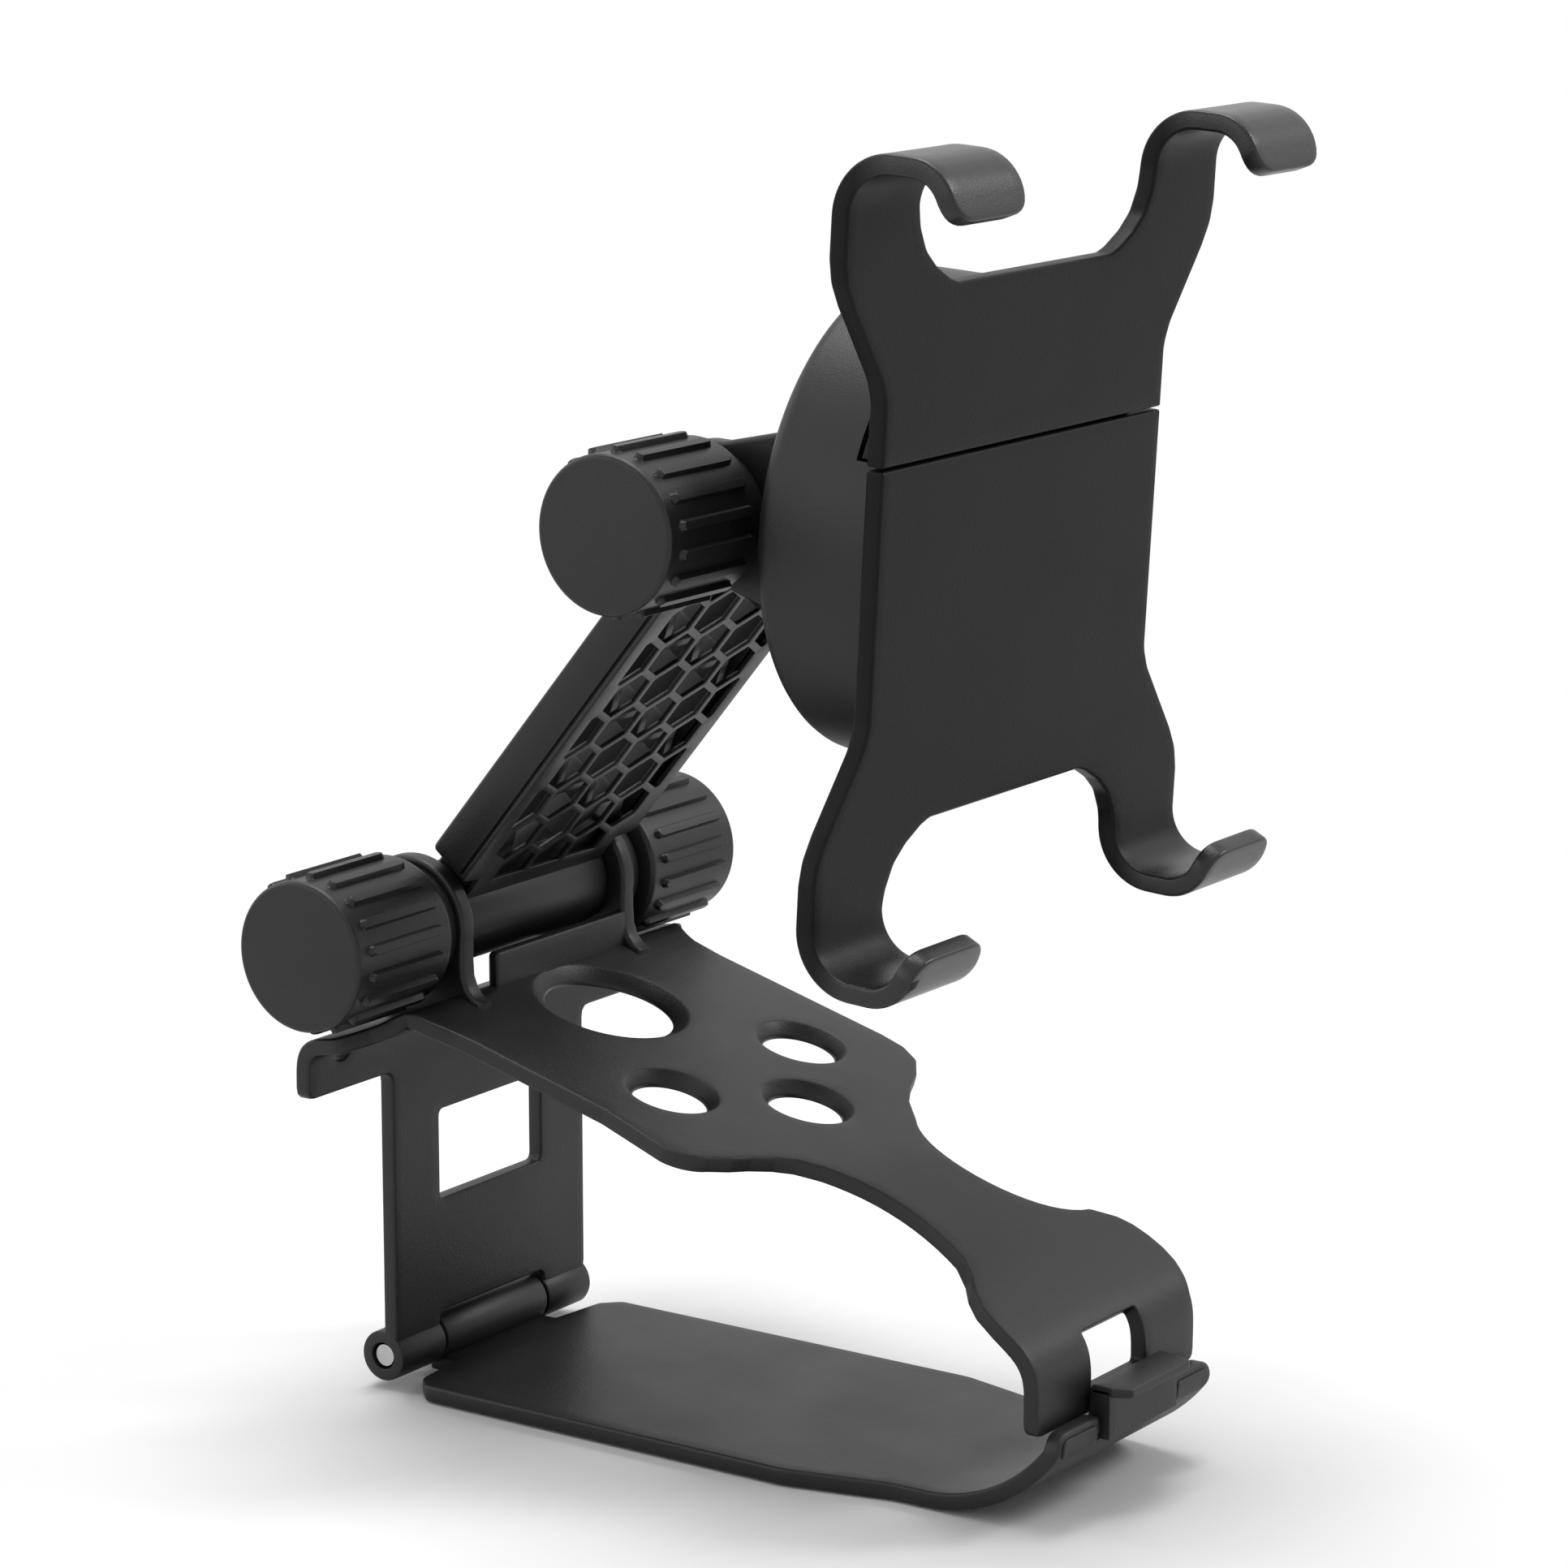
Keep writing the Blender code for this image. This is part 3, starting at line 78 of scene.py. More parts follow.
def eased(corners, radius, count=7):
    """Rounds each corner of a closed outline: between two points at the same distance on its
    two edges, less than half an edge away, runs the parabola whose control point is the corner."""
    corners = np.asarray(corners, float)
    radius = np.broadcast_to(np.asarray(radius, float), len(corners))
    before, after = np.roll(corners, 1, 0) - corners, np.roll(corners, -1, 0) - corners
    long_before, long_after = np.hypot(*before.T), np.hypot(*after.T)
    cosine = np.clip((before * after).sum(1) / (long_before * long_after), -1, 1)
    back = radius / np.tan(np.maximum(np.arccos(cosine), 0.02) / 2)
    back = np.minimum(back, 0.48 * np.minimum(long_before, long_after))[:, None]
    start = corners + before / long_before[:, None] * back
    end = corners + after / long_after[:, None] * back
    t = np.linspace(0, 1, count)[None, :, None]
    curve = (1 - t) ** 2 * start[:, None] + 2 * t * (1 - t) * corners[:, None] + t ** 2 * end[:, None]
    curve = curve.reshape(-1, 2)
    return curve[np.hypot(*(curve - np.roll(curve, 1, 0)).T) > 0.01]


def inset(outline, amounts, rounds=60):
    """Rings inside a counter-clockwise outline: each point moves along the mean of its two
    edges' inward normals, lengthened so that the edges move by the amount. Where a ring folds
    back at a tight corner, the two ends of each turned edge go to its middle, in many rounds."""
    edge = np.roll(outline, -1, 0) - outline
    normal = np.stack([-edge[:, 1], edge[:, 0]], -1) / np.hypot(*edge.T)[:, None]
    before = np.roll(normal, 1, 0)
    mean = (normal + before) / np.maximum(1 + (normal * before).sum(1), 0.35)[:, None]
    rings = outline[None] + np.asarray(amounts)[:, None, None] * mean[None]
    for _ in range(rounds):
        run = np.roll(rings, -1, 1) - rings
        folded = ((run * edge[None]).sum(2) < 0)[:, :, None]
        middle = rings + run / 2
        rings = np.where(folded, middle, rings)
        rings = np.where(np.roll(folded, 1, 1), np.roll(middle, 1, 1), rings)
    return rings


def signed_area(outline):
    """Half the sum of the cross products of neighbouring points."""
    x, y = outline.T
    return 0.5 * np.sum(x * np.roll(y, -1) - np.roll(x, -1) * y)


def inside(points, loops):
    """True where a ray from the point to the right crosses the loops an odd number of times."""
    crossings = np.zeros(len(points), int)
    for loop in loops:
        x0, y0 = loop.T
        x1, y1 = np.roll(loop, -1, 0).T
        rise = np.where(y1 == y0, 1e-12, y1 - y0)
        spans = (y0 > points[:, 1:]) != (y1 > points[:, 1:])
        crossings += (spans & (points[:, :1] < (x1 - x0) * (points[:, 1:] - y0) / rise + x0)).sum(1)
    return crossings % 2 == 1


def filled(loops, step):
    """Triangles between the loops, with grid points inside so that the sheet can bend. A grid
    point nearer than 0.6 of a step to a loop's point is left out."""
    edge_points = np.concatenate(loops)
    low, high = edge_points.min(0), edge_points.max(0)
    rulers = [np.arange(a + step / 2, b, step) for a, b in zip(low, high)]
    grid = np.stack(np.meshgrid(*rulers), -1).reshape(-1, 2)
    grid = grid[inside(grid, loops)]
    near = [np.hypot(*(grid[:, None] - part[None]).transpose(2, 0, 1)).min(1)
            for part in np.array_split(edge_points, max(1, len(edge_points) // 400))]
    grid = grid[np.min(near, 0) > 0.6 * step]
    starts = np.cumsum([0] + [len(loop) for loop in loops])
    edges = [np.stack([a + np.arange(len(loop)), a + (np.arange(len(loop)) + 1) % len(loop)], -1)
             for a, loop in zip(starts, loops)]
    given = np.concatenate([edge_points, grid])
    made = delaunay_2d_cdt(given.tolist(), np.concatenate(edges).tolist(), [], 0, 1e-6)
    flat, triangles = np.array([v[:] for v in made[0]]), np.array(made[2])
    return flat, triangles[inside(flat[triangles].mean(1), loops)]


def rolled_rim(thickness, radius, steps=4, chamfer=0.0, depth=0.0):
    """Edge profile as pairs of inset and height, from the front face to the back face: a
    quarter circle, the side and a quarter circle. With a chamfer, a bevel as wide as the
    chamfer and as deep as depth says takes the place of the front quarter circle."""
    turn = np.radians(np.linspace(0, 90, steps + 1))
    half = thickness / 2
    front = np.stack([radius * (1 - np.sin(turn)), half - radius * (1 - np.cos(turn))], -1)
    back = front[::-1] * (1, -1)
    if not chamfer:
        return np.concatenate([front, back])
    bevel = np.array([[chamfer + 0.35, half], [chamfer + 0.1, half - 0.04], [chamfer - 0.1, half - 0.16],
                      [0.12, half - depth + 0.04], [0.0, half - depth - 0.15]])
    return np.concatenate([bevel, back])


def grid_faces(rows, steps, closed=False):
    """Quads of a grid that is closed round its steps, and round its rows where asked."""
    row, step = np.meshgrid(np.arange(rows if closed else rows - 1), np.arange(steps), indexing="ij")
    low, high = row * steps, (row + 1) % rows * steps
    after = (step + 1) % steps
    return np.stack([low + step, low + after, high + after, high + step], -1).reshape(-1, 4).tolist()


def moulding(loops, place, step):
    """Skin of a flat moulding: round each loop runs the grid of its points and its edge
    profile, and both faces are filled. place maps across, along and height to space."""
    points, faces, fronts, backs, count = [], [], [], [], 0
    for i, (outline, profile) in enumerate(loops):
        outline = dense(np.asarray(outline, float), step)
        if (signed_area(outline) > 0) != (i == 0):
            outline = outline[::-1]
        ring = inset(outline, profile[:, 0])
        rows, size = ring.shape[:2]
        height = np.broadcast_to(profile[:, 1, None, None], (rows, size, 1))
        faces += (np.array(grid_faces(rows, size)) + count).tolist()
        points.append(np.concatenate([ring, height], -1).reshape(-1, 3))
        count += rows * size
        fronts.append(ring[0])
        backs.append(ring[-1])
    for rings, height in ((fronts, loops[0][1][0, 1]), (backs, loops[0][1][-1, 1])):
        flat, triangles = filled(rings, step * 2)
        faces += (triangles + count).tolist()
        points.append(np.concatenate([flat, np.full((len(flat), 1), height)], -1))
        count += len(flat)
    across, along, height = np.concatenate(points).T
    return place(across, along, height), faces


def piece(name, skins, finish, body, nodes, sharp=35):
    """One object from closed skins in millimetres: merged, freed of triangles without area,
    its pinholes closed, turned outwards and set in metres."""
    close = 0.002 * mm
    form = bmesh.new()
    for points, faces in skins:
        mesh = bpy.data.meshes.new("skin")
        mesh.from_pydata(np.asarray(points) * mm, [], faces)
        form.from_mesh(mesh)
        bpy.data.meshes.remove(mesh)
    bmesh.ops.remove_doubles(form, verts=form.verts, dist=close)
    bmesh.ops.dissolve_degenerate(form, dist=close, edges=form.edges)
    bmesh.ops.holes_fill(form, edges=form.edges, sides=12)
    bmesh.ops.recalc_face_normals(form, faces=form.faces)
    mesh = bpy.data.meshes.new(name)
    form.to_mesh(mesh)
    form.free()
    made = bpy.data.objects.new(name, mesh)
    bpy.context.scene.collection.objects.link(made)
    mesh.materials.append(finish)
    mesh.shade_smooth()
    mesh.set_sharp_from_angle(angle=math.radians(sharp))
    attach(made, body)
    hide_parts(*nodes)


def turned(points, angle, y, z):
    """Points turned about the X axis, so that their upper end leans to the front, and moved
    to a hinge axis. The angle's cosine and sine give the new Y and Z."""
    p = np.asarray(points, float)
    return np.stack([p[:, 0], y + p[:, 1] * math.cos(angle) - p[:, 2] * math.sin(angle),
                     z + p[:, 1] * math.sin(angle) + p[:, 2] * math.cos(angle)], -1)


def from_hex(code):
    """sRGB hex to linear: the lower part is divided by 12.92, the rest follows a 2.4 power."""
    value = np.array([int(code[i:i + 2], 16) / 255 for i in (1, 3, 5)])
    linear = np.where(value <= 0.04045, value / 12.92, ((value + 0.055) / 1.055) ** 2.4)
    return (*linear.tolist(), 1.0)


def add(tree, kind, settings=None, **links):
    """Adds a node, sets its attributes and inputs, and links inputs to other sockets."""
    node = tree.nodes.new(kind)
    for key, value in (settings or {}).items():
        if key in node.inputs:
            node.inputs[key].default_value = value
        else:
            setattr(node, key, value)
    for key, socket in links.items():
        tree.links.new(socket, node.inputs[key.replace("_", " ")])
    return node


def maths(tree, operation, *values):
    """Result of a maths node whose inputs are sockets or numbers."""
    node = add(tree, "ShaderNodeMath", {"operation": operation})
    for entry, value in zip(node.inputs, values):
        if isinstance(value, bpy.types.NodeSocket):
            tree.links.new(value, entry)
        else:
            entry.default_value = value
    return node.outputs[0]


def ranged(tree, value, low, high, to_low=0.0, to_high=1.0):
    """The value moved in proportion from one range to another, and held within it."""
    limits = {"From Min": low, "From Max": high, "To Min": to_low, "To Max": to_high}
    return add(tree, "ShaderNodeMapRange", limits, Value=value).outputs["Result"]


def new_finish(name):
    """A material with nodes, its node tree and its shader."""
    finish = bpy.data.materials.new(name)
    finish.use_nodes = True
    return finish, finish.node_tree, finish.node_tree.nodes["Principled BSDF"]


def shade_between(tree, share, first, second):
    """Colour that goes from one sRGB hex code to another with the share. A Mix node keeps its
    two colours in inputs 6 and 7 and gives the mixed one in output 2."""
    mix = add(tree, "ShaderNodeMix", {"data_type": "RGBA"}, Factor=share)
    mix.inputs[6].default_value = from_hex(first)
    mix.inputs[7].default_value = from_hex(second)
    return mix.outputs[2]


def moulded_plastic(name, colour, lighter, roughness, grain_mm, relief_mm):
    """Black ABS or rubber: IOR 1.53, no metal, and a lower specular level, because the pits of
    the tool's spark texture swallow part of the light. A fine noise is that texture, drawn
    coarser than the real 0.05 mm so that it shows, and a slow one varies gloss and shade."""
    cloud_mm, spread, level = 14.0, 0.05, 0.32
    finish, tree, shader = new_finish(name)
    shader.inputs["IOR"].default_value = 1.53
    shader.inputs["Specular IOR Level"].default_value = level
    place = add(tree, "ShaderNodeTexCoord").outputs["Object"]
    grain = add(tree, "ShaderNodeTexNoise", {"Scale": 1000 / grain_mm, "Detail": 2.0, "Roughness": 0.6},
                Vector=place).outputs["Fac"]
    cloud = add(tree, "ShaderNodeTexNoise", {"Scale": 1000 / cloud_mm, "Detail": 3.0, "Roughness": 0.55},
                Vector=place).outputs["Fac"]
    shade, fleck = ranged(tree, cloud, 0.3, 0.7), ranged(tree, grain, 0.35, 0.75, 0.0, 0.45)
    both = maths(tree, "MULTIPLY_ADD", shade, 0.5, fleck)
    tree.links.new(shade_between(tree, both, colour, lighter), shader.inputs["Base Color"])
    gloss = ranged(tree, cloud, 0.25, 0.75, roughness - spread, roughness + spread)
    tree.links.new(gloss, shader.inputs["Roughness"])
    bump = add(tree, "ShaderNodeBump", {"Strength": 1.0, "Distance": relief_mm * mm}, Height=grain)
    tree.links.new(bump.outputs["Normal"], shader.inputs["Normal"])
    return finish


# The lower hinge axis. Side views of the shell, the strap and the latch are drawn as pairs of
# Y and Z from it, with a negative Y in front of it.
axis_y, axis_z = 40.0, 52.0
shell_wall, face_z, slope_degrees, nose_degrees = 1.8, -5.44, 15.2, 36.0
trough, rear_bend, rear_foot = 9.25, 3.0, -47.0
roll_y, roll_radius, nose_radius, nose_straight = -50.0, 76.0, 5.5, 2.9
face_slope, roll_slope = math.radians(slope_degrees), math.radians(nose_degrees)


def on_slope(y):
    """Height of the shell's outer face on its straight slope: the height that it would have
    at the axis, and the slope's tangent times Y."""
    return face_z + math.tan(face_slope) * y


roll_centre = (roll_y + roll_radius * math.sin(face_slope),
               on_slope(roll_y) - roll_radius * math.cos(face_slope))
roll = along_arc(roll_centre, roll_radius, 90 + slope_degrees, 90 + nose_degrees, 30)
nose_start = roll[-1] - nose_straight * np.array([math.cos(roll_slope), math.sin(roll_slope)])
nose_centre = nose_start + nose_radius * np.array([math.sin(roll_slope), -math.cos(roll_slope)])
nose = along_arc(nose_centre, nose_radius, 90 + nose_degrees, 180, 24)
crest = np.array([-8.28, -7.69])
rear_line = np.concatenate([[[rear_bend, rear_foot], [rear_bend, -14.0]],
                            along_arc((0, -trough - rear_bend), rear_bend, 0, 90, 12)])
shell_line = np.concatenate([rear_line, along_arc((0, 0), trough, -90, -136, 16)[1:], [crest],
                             roll, nose, nose[-1:] + [[0, -5.0]]])
shell_run = measured(shell_line)[1]
rear_end = shell_run[len(rear_line) - 1]
even_run = np.arange(0, shell_run[-1], 0.25)
tongue_run = even_run[-1]
even_line = at_distances(even_run, shell_run, shell_line)

# A bell-shaped mean rounds the line's corners. Past each end the line is first carried on by
# itself, turned about the end point, so that the ends stay in place.
bell_reach, bell_width = 12, 4.5
bell = np.exp(-0.5 * (np.arange(-bell_reach, bell_reach + 1) / bell_width) ** 2)
padded_line = np.concatenate([2 * even_line[:1] - even_line[bell_reach:0:-1], even_line,
                              2 * even_line[-1:] - even_line[-2:-bell_reach - 2:-1]])
even_line = np.stack([np.convolve(padded_line[:, i], bell / bell.sum(), "valid") for i in (0, 1)], -1)
front_part = (even_run >= rear_end) & (even_line[:, 0] > -79.2)
rear_part = (even_run > 20) & (even_run < rear_end)
nose_part = even_line[:, 0] < nose_start[0] + 2.0


def run_at(y):
    """Distance along the shell's line at which it passes a place in front of the axis."""
    return np.interp(-y, -even_line[front_part, 0], even_run[front_part])


def run_at_height(z, part):
    """The same for a height, on the rear bend or on the tongue."""
    order = np.argsort(even_line[part, 1])
    return np.interp(z, even_line[part, 1][order], even_run[part][order])


def bent(fine, line, along):
    """Place and direction of a line at distances along it. The direction is the change of
    place from point to point, divided by its own length."""
    tangent = np.gradient(line, fine, axis=0)
    tangent /= np.hypot(*tangent.T)[:, None]
    return [np.interp(along, fine, values) for values in (*line.T, *tangent.T)]


def on_shell(across, along, height):
    """Across is X. Along is the distance on the shell's side line, and height runs square to
    it, outwards from the middle of the wall. The line is the wall's outer face."""
    y, z, ty, tz = bent(even_run, even_line, along)
    lift = height - shell_wall / 2
    return np.stack([across, axis_y + y + tz * lift, axis_z + z - ty * lift], -1)


def circle(x, y, radius, count=48):
    """A closed ring of points at equal angles."""
    return along_arc((x, y), radius, 0, 360, count + 1)[:-1]


# Left and right edge of the front part in plan, as pairs of X and Y, from the left end of
# the strip behind to the tongue, and from the tongue to the right end of the strip.
shell_half, knuckle_out, knuckle_in = 31.0, 17.0, 9.3
left_plan = np.concatenate([
    [[-shell_half, -2.5], [-27.0, -3.9], [-24.3, -6.6], [-22.9, -10.2], [-22.5, -14.0], [-22.5, -31.0]],
    along_arc((-19.4, -39.4), 4.5, 180, 248, 10),
    [[-19.1, -44.8], [-17.0, -45.7], [-14.7, -47.1], [-13.1, -48.6]],
    along_arc((-38.1, -60.6), 28.0, 20, -14, 12),
    [[-12.5, -69.5], [-14.2, -71.0], [-15.3, -72.7], [-15.6, -74.9]]])
right_plan = np.concatenate([
    [[15.4, -78.8], [16.0, -77.8], [16.6, -76.2], [16.7, -74.7], [16.4, -73.1], [15.8, -71.5], [14.8, -70.1]],
    along_arc((13.95, -57.95), 10.4, 261, 126, 20),
    [[11.0, -46.6], [14.4, -44.6], [17.6, -43.2], [20.6, -41.2], [22.1, -38.6], [22.5, -35.6],
     [22.5, -14.0], [22.9, -10.2], [24.3, -6.6], [27.0, -3.9], [shell_half, -2.5]]])
strip_foot = run_at_height(-16.25, rear_part)
shell_rim = np.concatenate([
    [[knuckle_out, strip_foot], [knuckle_out, 0.0], [knuckle_in, 0.0], [knuckle_in, 1.9],
     [-knuckle_in, 1.9], [-knuckle_in, 0.0], [-knuckle_out, 0.0], [-knuckle_out, strip_foot],
     [-shell_half, strip_foot]],
    np.stack([left_plan[:, 0], run_at(left_plan[:, 1])], -1), [[-15.6, tongue_run], [15.2, tongue_run]],
    np.stack([right_plan[:, 0], run_at(right_plan[:, 1])], -1), [[shell_half, strip_foot]]])
shell_rim = eased(shell_rim, 1.2, 4)


def window(half, low, high, radius):
    """A rectangle with rounded corners, as wide to the left of its middle as to the right."""
    return eased([[-half, low], [half, low], [half, high], [-half, high]], radius)


soft_rim = rolled_rim(shell_wall, 0.35)
face_loops = [(shell_rim, soft_rim)]
face_holes = ((0.0, -15.4, 7.1, 1.4), (-11.9, -32.0, 4.0, 1.05), (11.9, -32.0, 4.0, 1.05),
              (0.0, -41.0, 4.0, 1.05))
for x, y, radius, bevel in face_holes:
    bevelled_rim = rolled_rim(shell_wall, 0.3, chamfer=bevel, depth=1.1)
    face_loops.append((circle(x, run_at(y), radius, 64), bevelled_rim))
tongue_window = window(5.25, run_at_height(-33.6, nose_part), run_at_height(-39.6, nose_part), 0.5)
face_loops.append((tongue_window, rolled_rim(shell_wall, 0.2)))
face_loops.append((window(9.0, 14.75, 24.75, 0.8), rolled_rim(shell_wall, 0.3)))
for x in (-25.5, 25.5):
    strip_hole = circle(x, run_at_height(-11.55, rear_part), 1.4, 28)
    face_loops.append((strip_hole, rolled_rim(shell_wall, 0.2)))


def across_x(low, high):
    """Puts an outline of Y and Z from the lower hinge axis between two places along X."""
    middle = (low + high) / 2
    return lambda across, along, height: np.stack([middle + height, axis_y + across, axis_z + along], -1)


# The lugs' side view: a toe on the face, a hollow front, and a round head on the hinge axis.
lug_toe, lug_head = -9.6, 7.4
lug_spans, lug_rim = ((-15.5, -13.2), (13.2, 15.5)), rolled_rim(2.3, 0.5)
lug_side = np.concatenate([
    [[lug_toe, on_slope(lug_toe) - 0.9], [lug_toe, on_slope(lug_toe) + 0.5],
     [-8.6, on_slope(-8.6) + 0.7], [-7.8, on_slope(-7.8) + 1.4], [-7.35, -5.0], [-7.25, -3.2]],
    along_arc((0, 0), lug_head, 190, -25, 40), [[2.6, -11.0], [-3.7, -9.6]]])
shell_skins = [moulding(face_loops, on_shell, 0.6)]
for low, high in lug_spans:
    shell_skins.append(moulding([(lug_side, lug_rim)], across_x(low, high), 0.6))
sill_y = -6.75
sill_face = eased([[-9.6, -9.0], [13.6, -9.0], [13.6, -3.4], [-9.6, -3.4]], [0.1, 0.1, 0.1, 0.7])
shell_skins.append(moulding([(sill_face, rolled_rim(1.3, 0.35))],
                            lambda a, b, h: np.stack([a, axis_y + sill_y + h, axis_z + b], -1), 0.8))


def lathe(profile, place, steps=48, closed=False):
    """A turned skin: radius and height of each profile point, carried round in equal steps."""
    profile = np.asarray(profile, float)
    angle = np.arange(steps) * 2 * np.pi / steps
    r, h = profile[:, 0][:, None], profile[:, 1][:, None]
    points = np.stack([r * np.cos(angle), r * np.sin(angle), h + 0 * angle], -1).reshape(-1, 3)
    return place(*points.T), grid_faces(len(profile), steps, closed)


def tube(radius, bore, low, high, edge=0.25):
    """Profile of a sleeve, closed on itself: a rectangle from bore to radius and from low to
    high, whose outer rims are eased by two short lines each and whose inner ones by one."""
    return [[bore, low + 0.1], [bore + 0.1, low], [radius - edge, low],
            [radius - edge * 0.3, low + edge * 0.3], [radius, low + edge], [radius, high - edge],
            [radius - edge * 0.3, high - edge * 0.3], [radius - edge, high], [bore + 0.1, high],
            [bore, high - 0.1]]


def along_x(y, z):
    """Sets a turned shape's axis along X through a point of the world."""
    return lambda a, b, h: np.stack([h, y + a, z + b], -1)


pin_y, pin_z, pin_bore, knuckle_radius = 43.2, 3.6, 1.5, 2.8
for low, high in ((-knuckle_out, -knuckle_in), (knuckle_in, knuckle_out)):
    knuckle = tube(knuckle_radius, pin_bore, low, high)
    shell_skins.append(lathe(knuckle, along_x(pin_y, pin_z), closed=True))
shell_plastic = moulded_plastic("spark_eroded_abs_shell", "#151515", "#202020", 0.44, 0.22, 0.03)
piece("upper_shell", shell_skins, shell_plastic, "base", ["faceplate"])


# Lower strap. One ABS moulding that closes the shell from below: it turns on a steel pin behind,
# and two rounded ears stand up in front, with the latch between them. Matt as the shell.

strap_front, belly_z, strap_sweep, strap_bend, sweep_degrees = -81.56, -52.0, 20.0, 2.5, 218
ear_top, latch_y, latch_z, shelf_top = -41.33, -80.76, -42.93, -38.43
strap_lean = math.radians(270 - sweep_degrees)
apart = strap_sweep - strap_bend
sweep_y, sweep_z = strap_front + strap_bend + apart * math.sin(strap_lean), belly_z + strap_sweep
bend_z = sweep_z - apart * math.cos(strap_lean)
strap_line = np.concatenate([
    [[strap_front, ear_top]],
    along_arc((strap_front + strap_bend, bend_z), strap_bend, 180, sweep_degrees, 8),
    along_arc((sweep_y, sweep_z), strap_sweep, sweep_degrees, 270, 30)[1:], [[3.2, belly_z]]])
strap_run = measured(strap_line)[1]
sweep_end = strap_run[-2]


def on_strap(across, along, height):
    """Along runs down the ears, round the bend and back along the belly. Height runs square
    to that line, outwards from the middle of the wall. The line is the wall's outer face."""
    fine = np.arange(0, strap_run[-1], 0.25)
    y, z, ty, tz = bent(fine, at_distances(fine, strap_run, strap_line), along)
    lift = shell_wall / 2 - height
    return np.stack([across, axis_y + y - tz * lift, axis_z + z + ty * lift], -1)


def strap_at(y):
    """Distance on the strap's line under a place along Y, on the flat belly."""
    return sweep_end + y - strap_line[-2, 0]


def mirrored(half):
    """A closed outline from its right half: its points, and back the same with X negative."""
    return np.array(half + [[-x, y] for x, y in reversed(half)])


gap_foot = ear_top - (latch_z - 1.5)
ear_in, ear_out, belly_half = 7.1, 15.2, 18.0
strap_half = [[ear_in, gap_foot], [ear_in, 0.0], [ear_out, 0.0], [ear_out, strap_at(-62.0)],
              [belly_half, strap_at(-50.0)], [belly_half, strap_at(-3.4)], [16.0, strap_at(-1.4)],
              [9.0, strap_at(-0.6)], [9.0, strap_at(3.0)]]
strap_radii = [0.4, 0.8, 2.4, 8.0, 8.0, 1.5, 1.5, 0.3, 0.3]
strap_rim = eased(mirrored(strap_half), strap_radii + strap_radii[::-1], 8)
strap_skins = [moulding([(strap_rim, soft_rim)], on_strap, 0.6),
               lathe(tube(knuckle_radius, pin_bore, -8.95, 8.95), along_x(pin_y, pin_z), closed=True)]

# Each ear has a thin bearing for the latch's pin inside, and a low raised pad on its face.
for low, high in ((-10.3, -7.2), (7.2, 10.3)):
    bearing = tube(0.78, 0.65, low, high, 0.04)
    strap_skins.append(lathe(bearing, along_x(axis_y + latch_y, axis_z + latch_z), 32, closed=True))
pad_in, pad_out, pad_top, pad_foot, pad_middle = 7.9, 14.4, 0.7, gap_foot - 0.2, 0.92
for side in (-1, 1):
    pad = np.array([[pad_in, pad_foot], [pad_in, pad_top], [pad_out, pad_top], [pad_out, pad_foot]])
    pad = eased(pad * (side, 1), [1.2, 0.7, 2.0, 1.4], 8)
    strap_skins.append(moulding([(pad, rolled_rim(0.4, 0.15))],
                                lambda a, b, h: on_strap(a, b, h + pad_middle), 0.5))
piece("lower_strap", strap_skins, shell_plastic, "strap", ["under_strap"])


# Latch. A small ABS lever in front of the tongue: a plate on a pin and a thumb shelf on top
# of it. The plate stands a little proud of the ears and has a pocket behind for its spring.

latch_half, pocket_half, stem_half, front_wall = 6.7, 2.9, 2.95, 0.35
latch_front, latch_foot, latch_top = strap_front - 0.8, latch_z - 1.1, shelf_top - 0.3
latch_back, inner_front, shelf_front = strap_front + 1.5, latch_front + 0.1, strap_front - 2.9


def on_latch(across, along, height):
    """The front wall stands upright, and height runs forward from its middle."""
    return np.stack([across, axis_y + latch_front + front_wall / 2 - height, axis_z + along], -1)


plate_front = window(latch_half, latch_foot, latch_top, 0.25)
latch_skins = [moulding([(plate_front, rolled_rim(front_wall, 0.12))], on_latch, 0.5)]
for low, high in ((-latch_half, -pocket_half), (pocket_half, latch_half)):
    side_view = eased([[inner_front, latch_foot], [latch_y, latch_foot], [latch_y + 1.1, latch_z],
                       [latch_back, latch_top], [inner_front, latch_top]], [0.2, 0.7, 0.3, 0.2, 0.1])
    latch_skins.append(moulding([(side_view, rolled_rim(high - low, 0.2))], across_x(low, high), 0.4))
stem_view = eased([[inner_front, latch_z + 1.3], [latch_back, latch_z + 1.3], [latch_back, latch_top],
                   [inner_front, latch_top]], 0.1)
latch_skins.append(moulding([(stem_view, rolled_rim(2 * stem_half, 0.1))],
                            across_x(-stem_half, stem_half), 0.4))
shelf_plan = eased([[-latch_half, strap_front + 1.4], [-latch_half, latch_front - 0.2], [-5.8, shelf_front],
                    [5.8, shelf_front], [latch_half, latch_front - 0.2], [latch_half, strap_front + 1.4]],
                   [0.2, 0.6, 0.6, 0.6, 0.6, 0.2])
latch_skins.append(moulding([(shelf_plan, rolled_rim(1.0, 0.25))],
                            lambda a, b, h: np.stack([a, axis_y + b, axis_z + shelf_top - 0.5 + h], -1), 0.5))
piece("latch_lever", latch_skins, shell_plastic, "latch_lever", ["latch"])


# Ribbed knobs. Four ABS knobs with a slightly domed face and eighteen raised ribs, each with
# round ends. They are moulded hollow for the bolt, and turning them tightens the hinge.

knob_length, knob_radius, knob_edge, knob_start, bolt_bore = 15.7, 8.05, 0.5, 17.9, 2.3
rib_count, steps_per_rib, rib_height, rib_margin = 18, 28, 0.6, 1.9
rib_half, rib_foot, rib_flank = 0.5, 0.58, 0.15


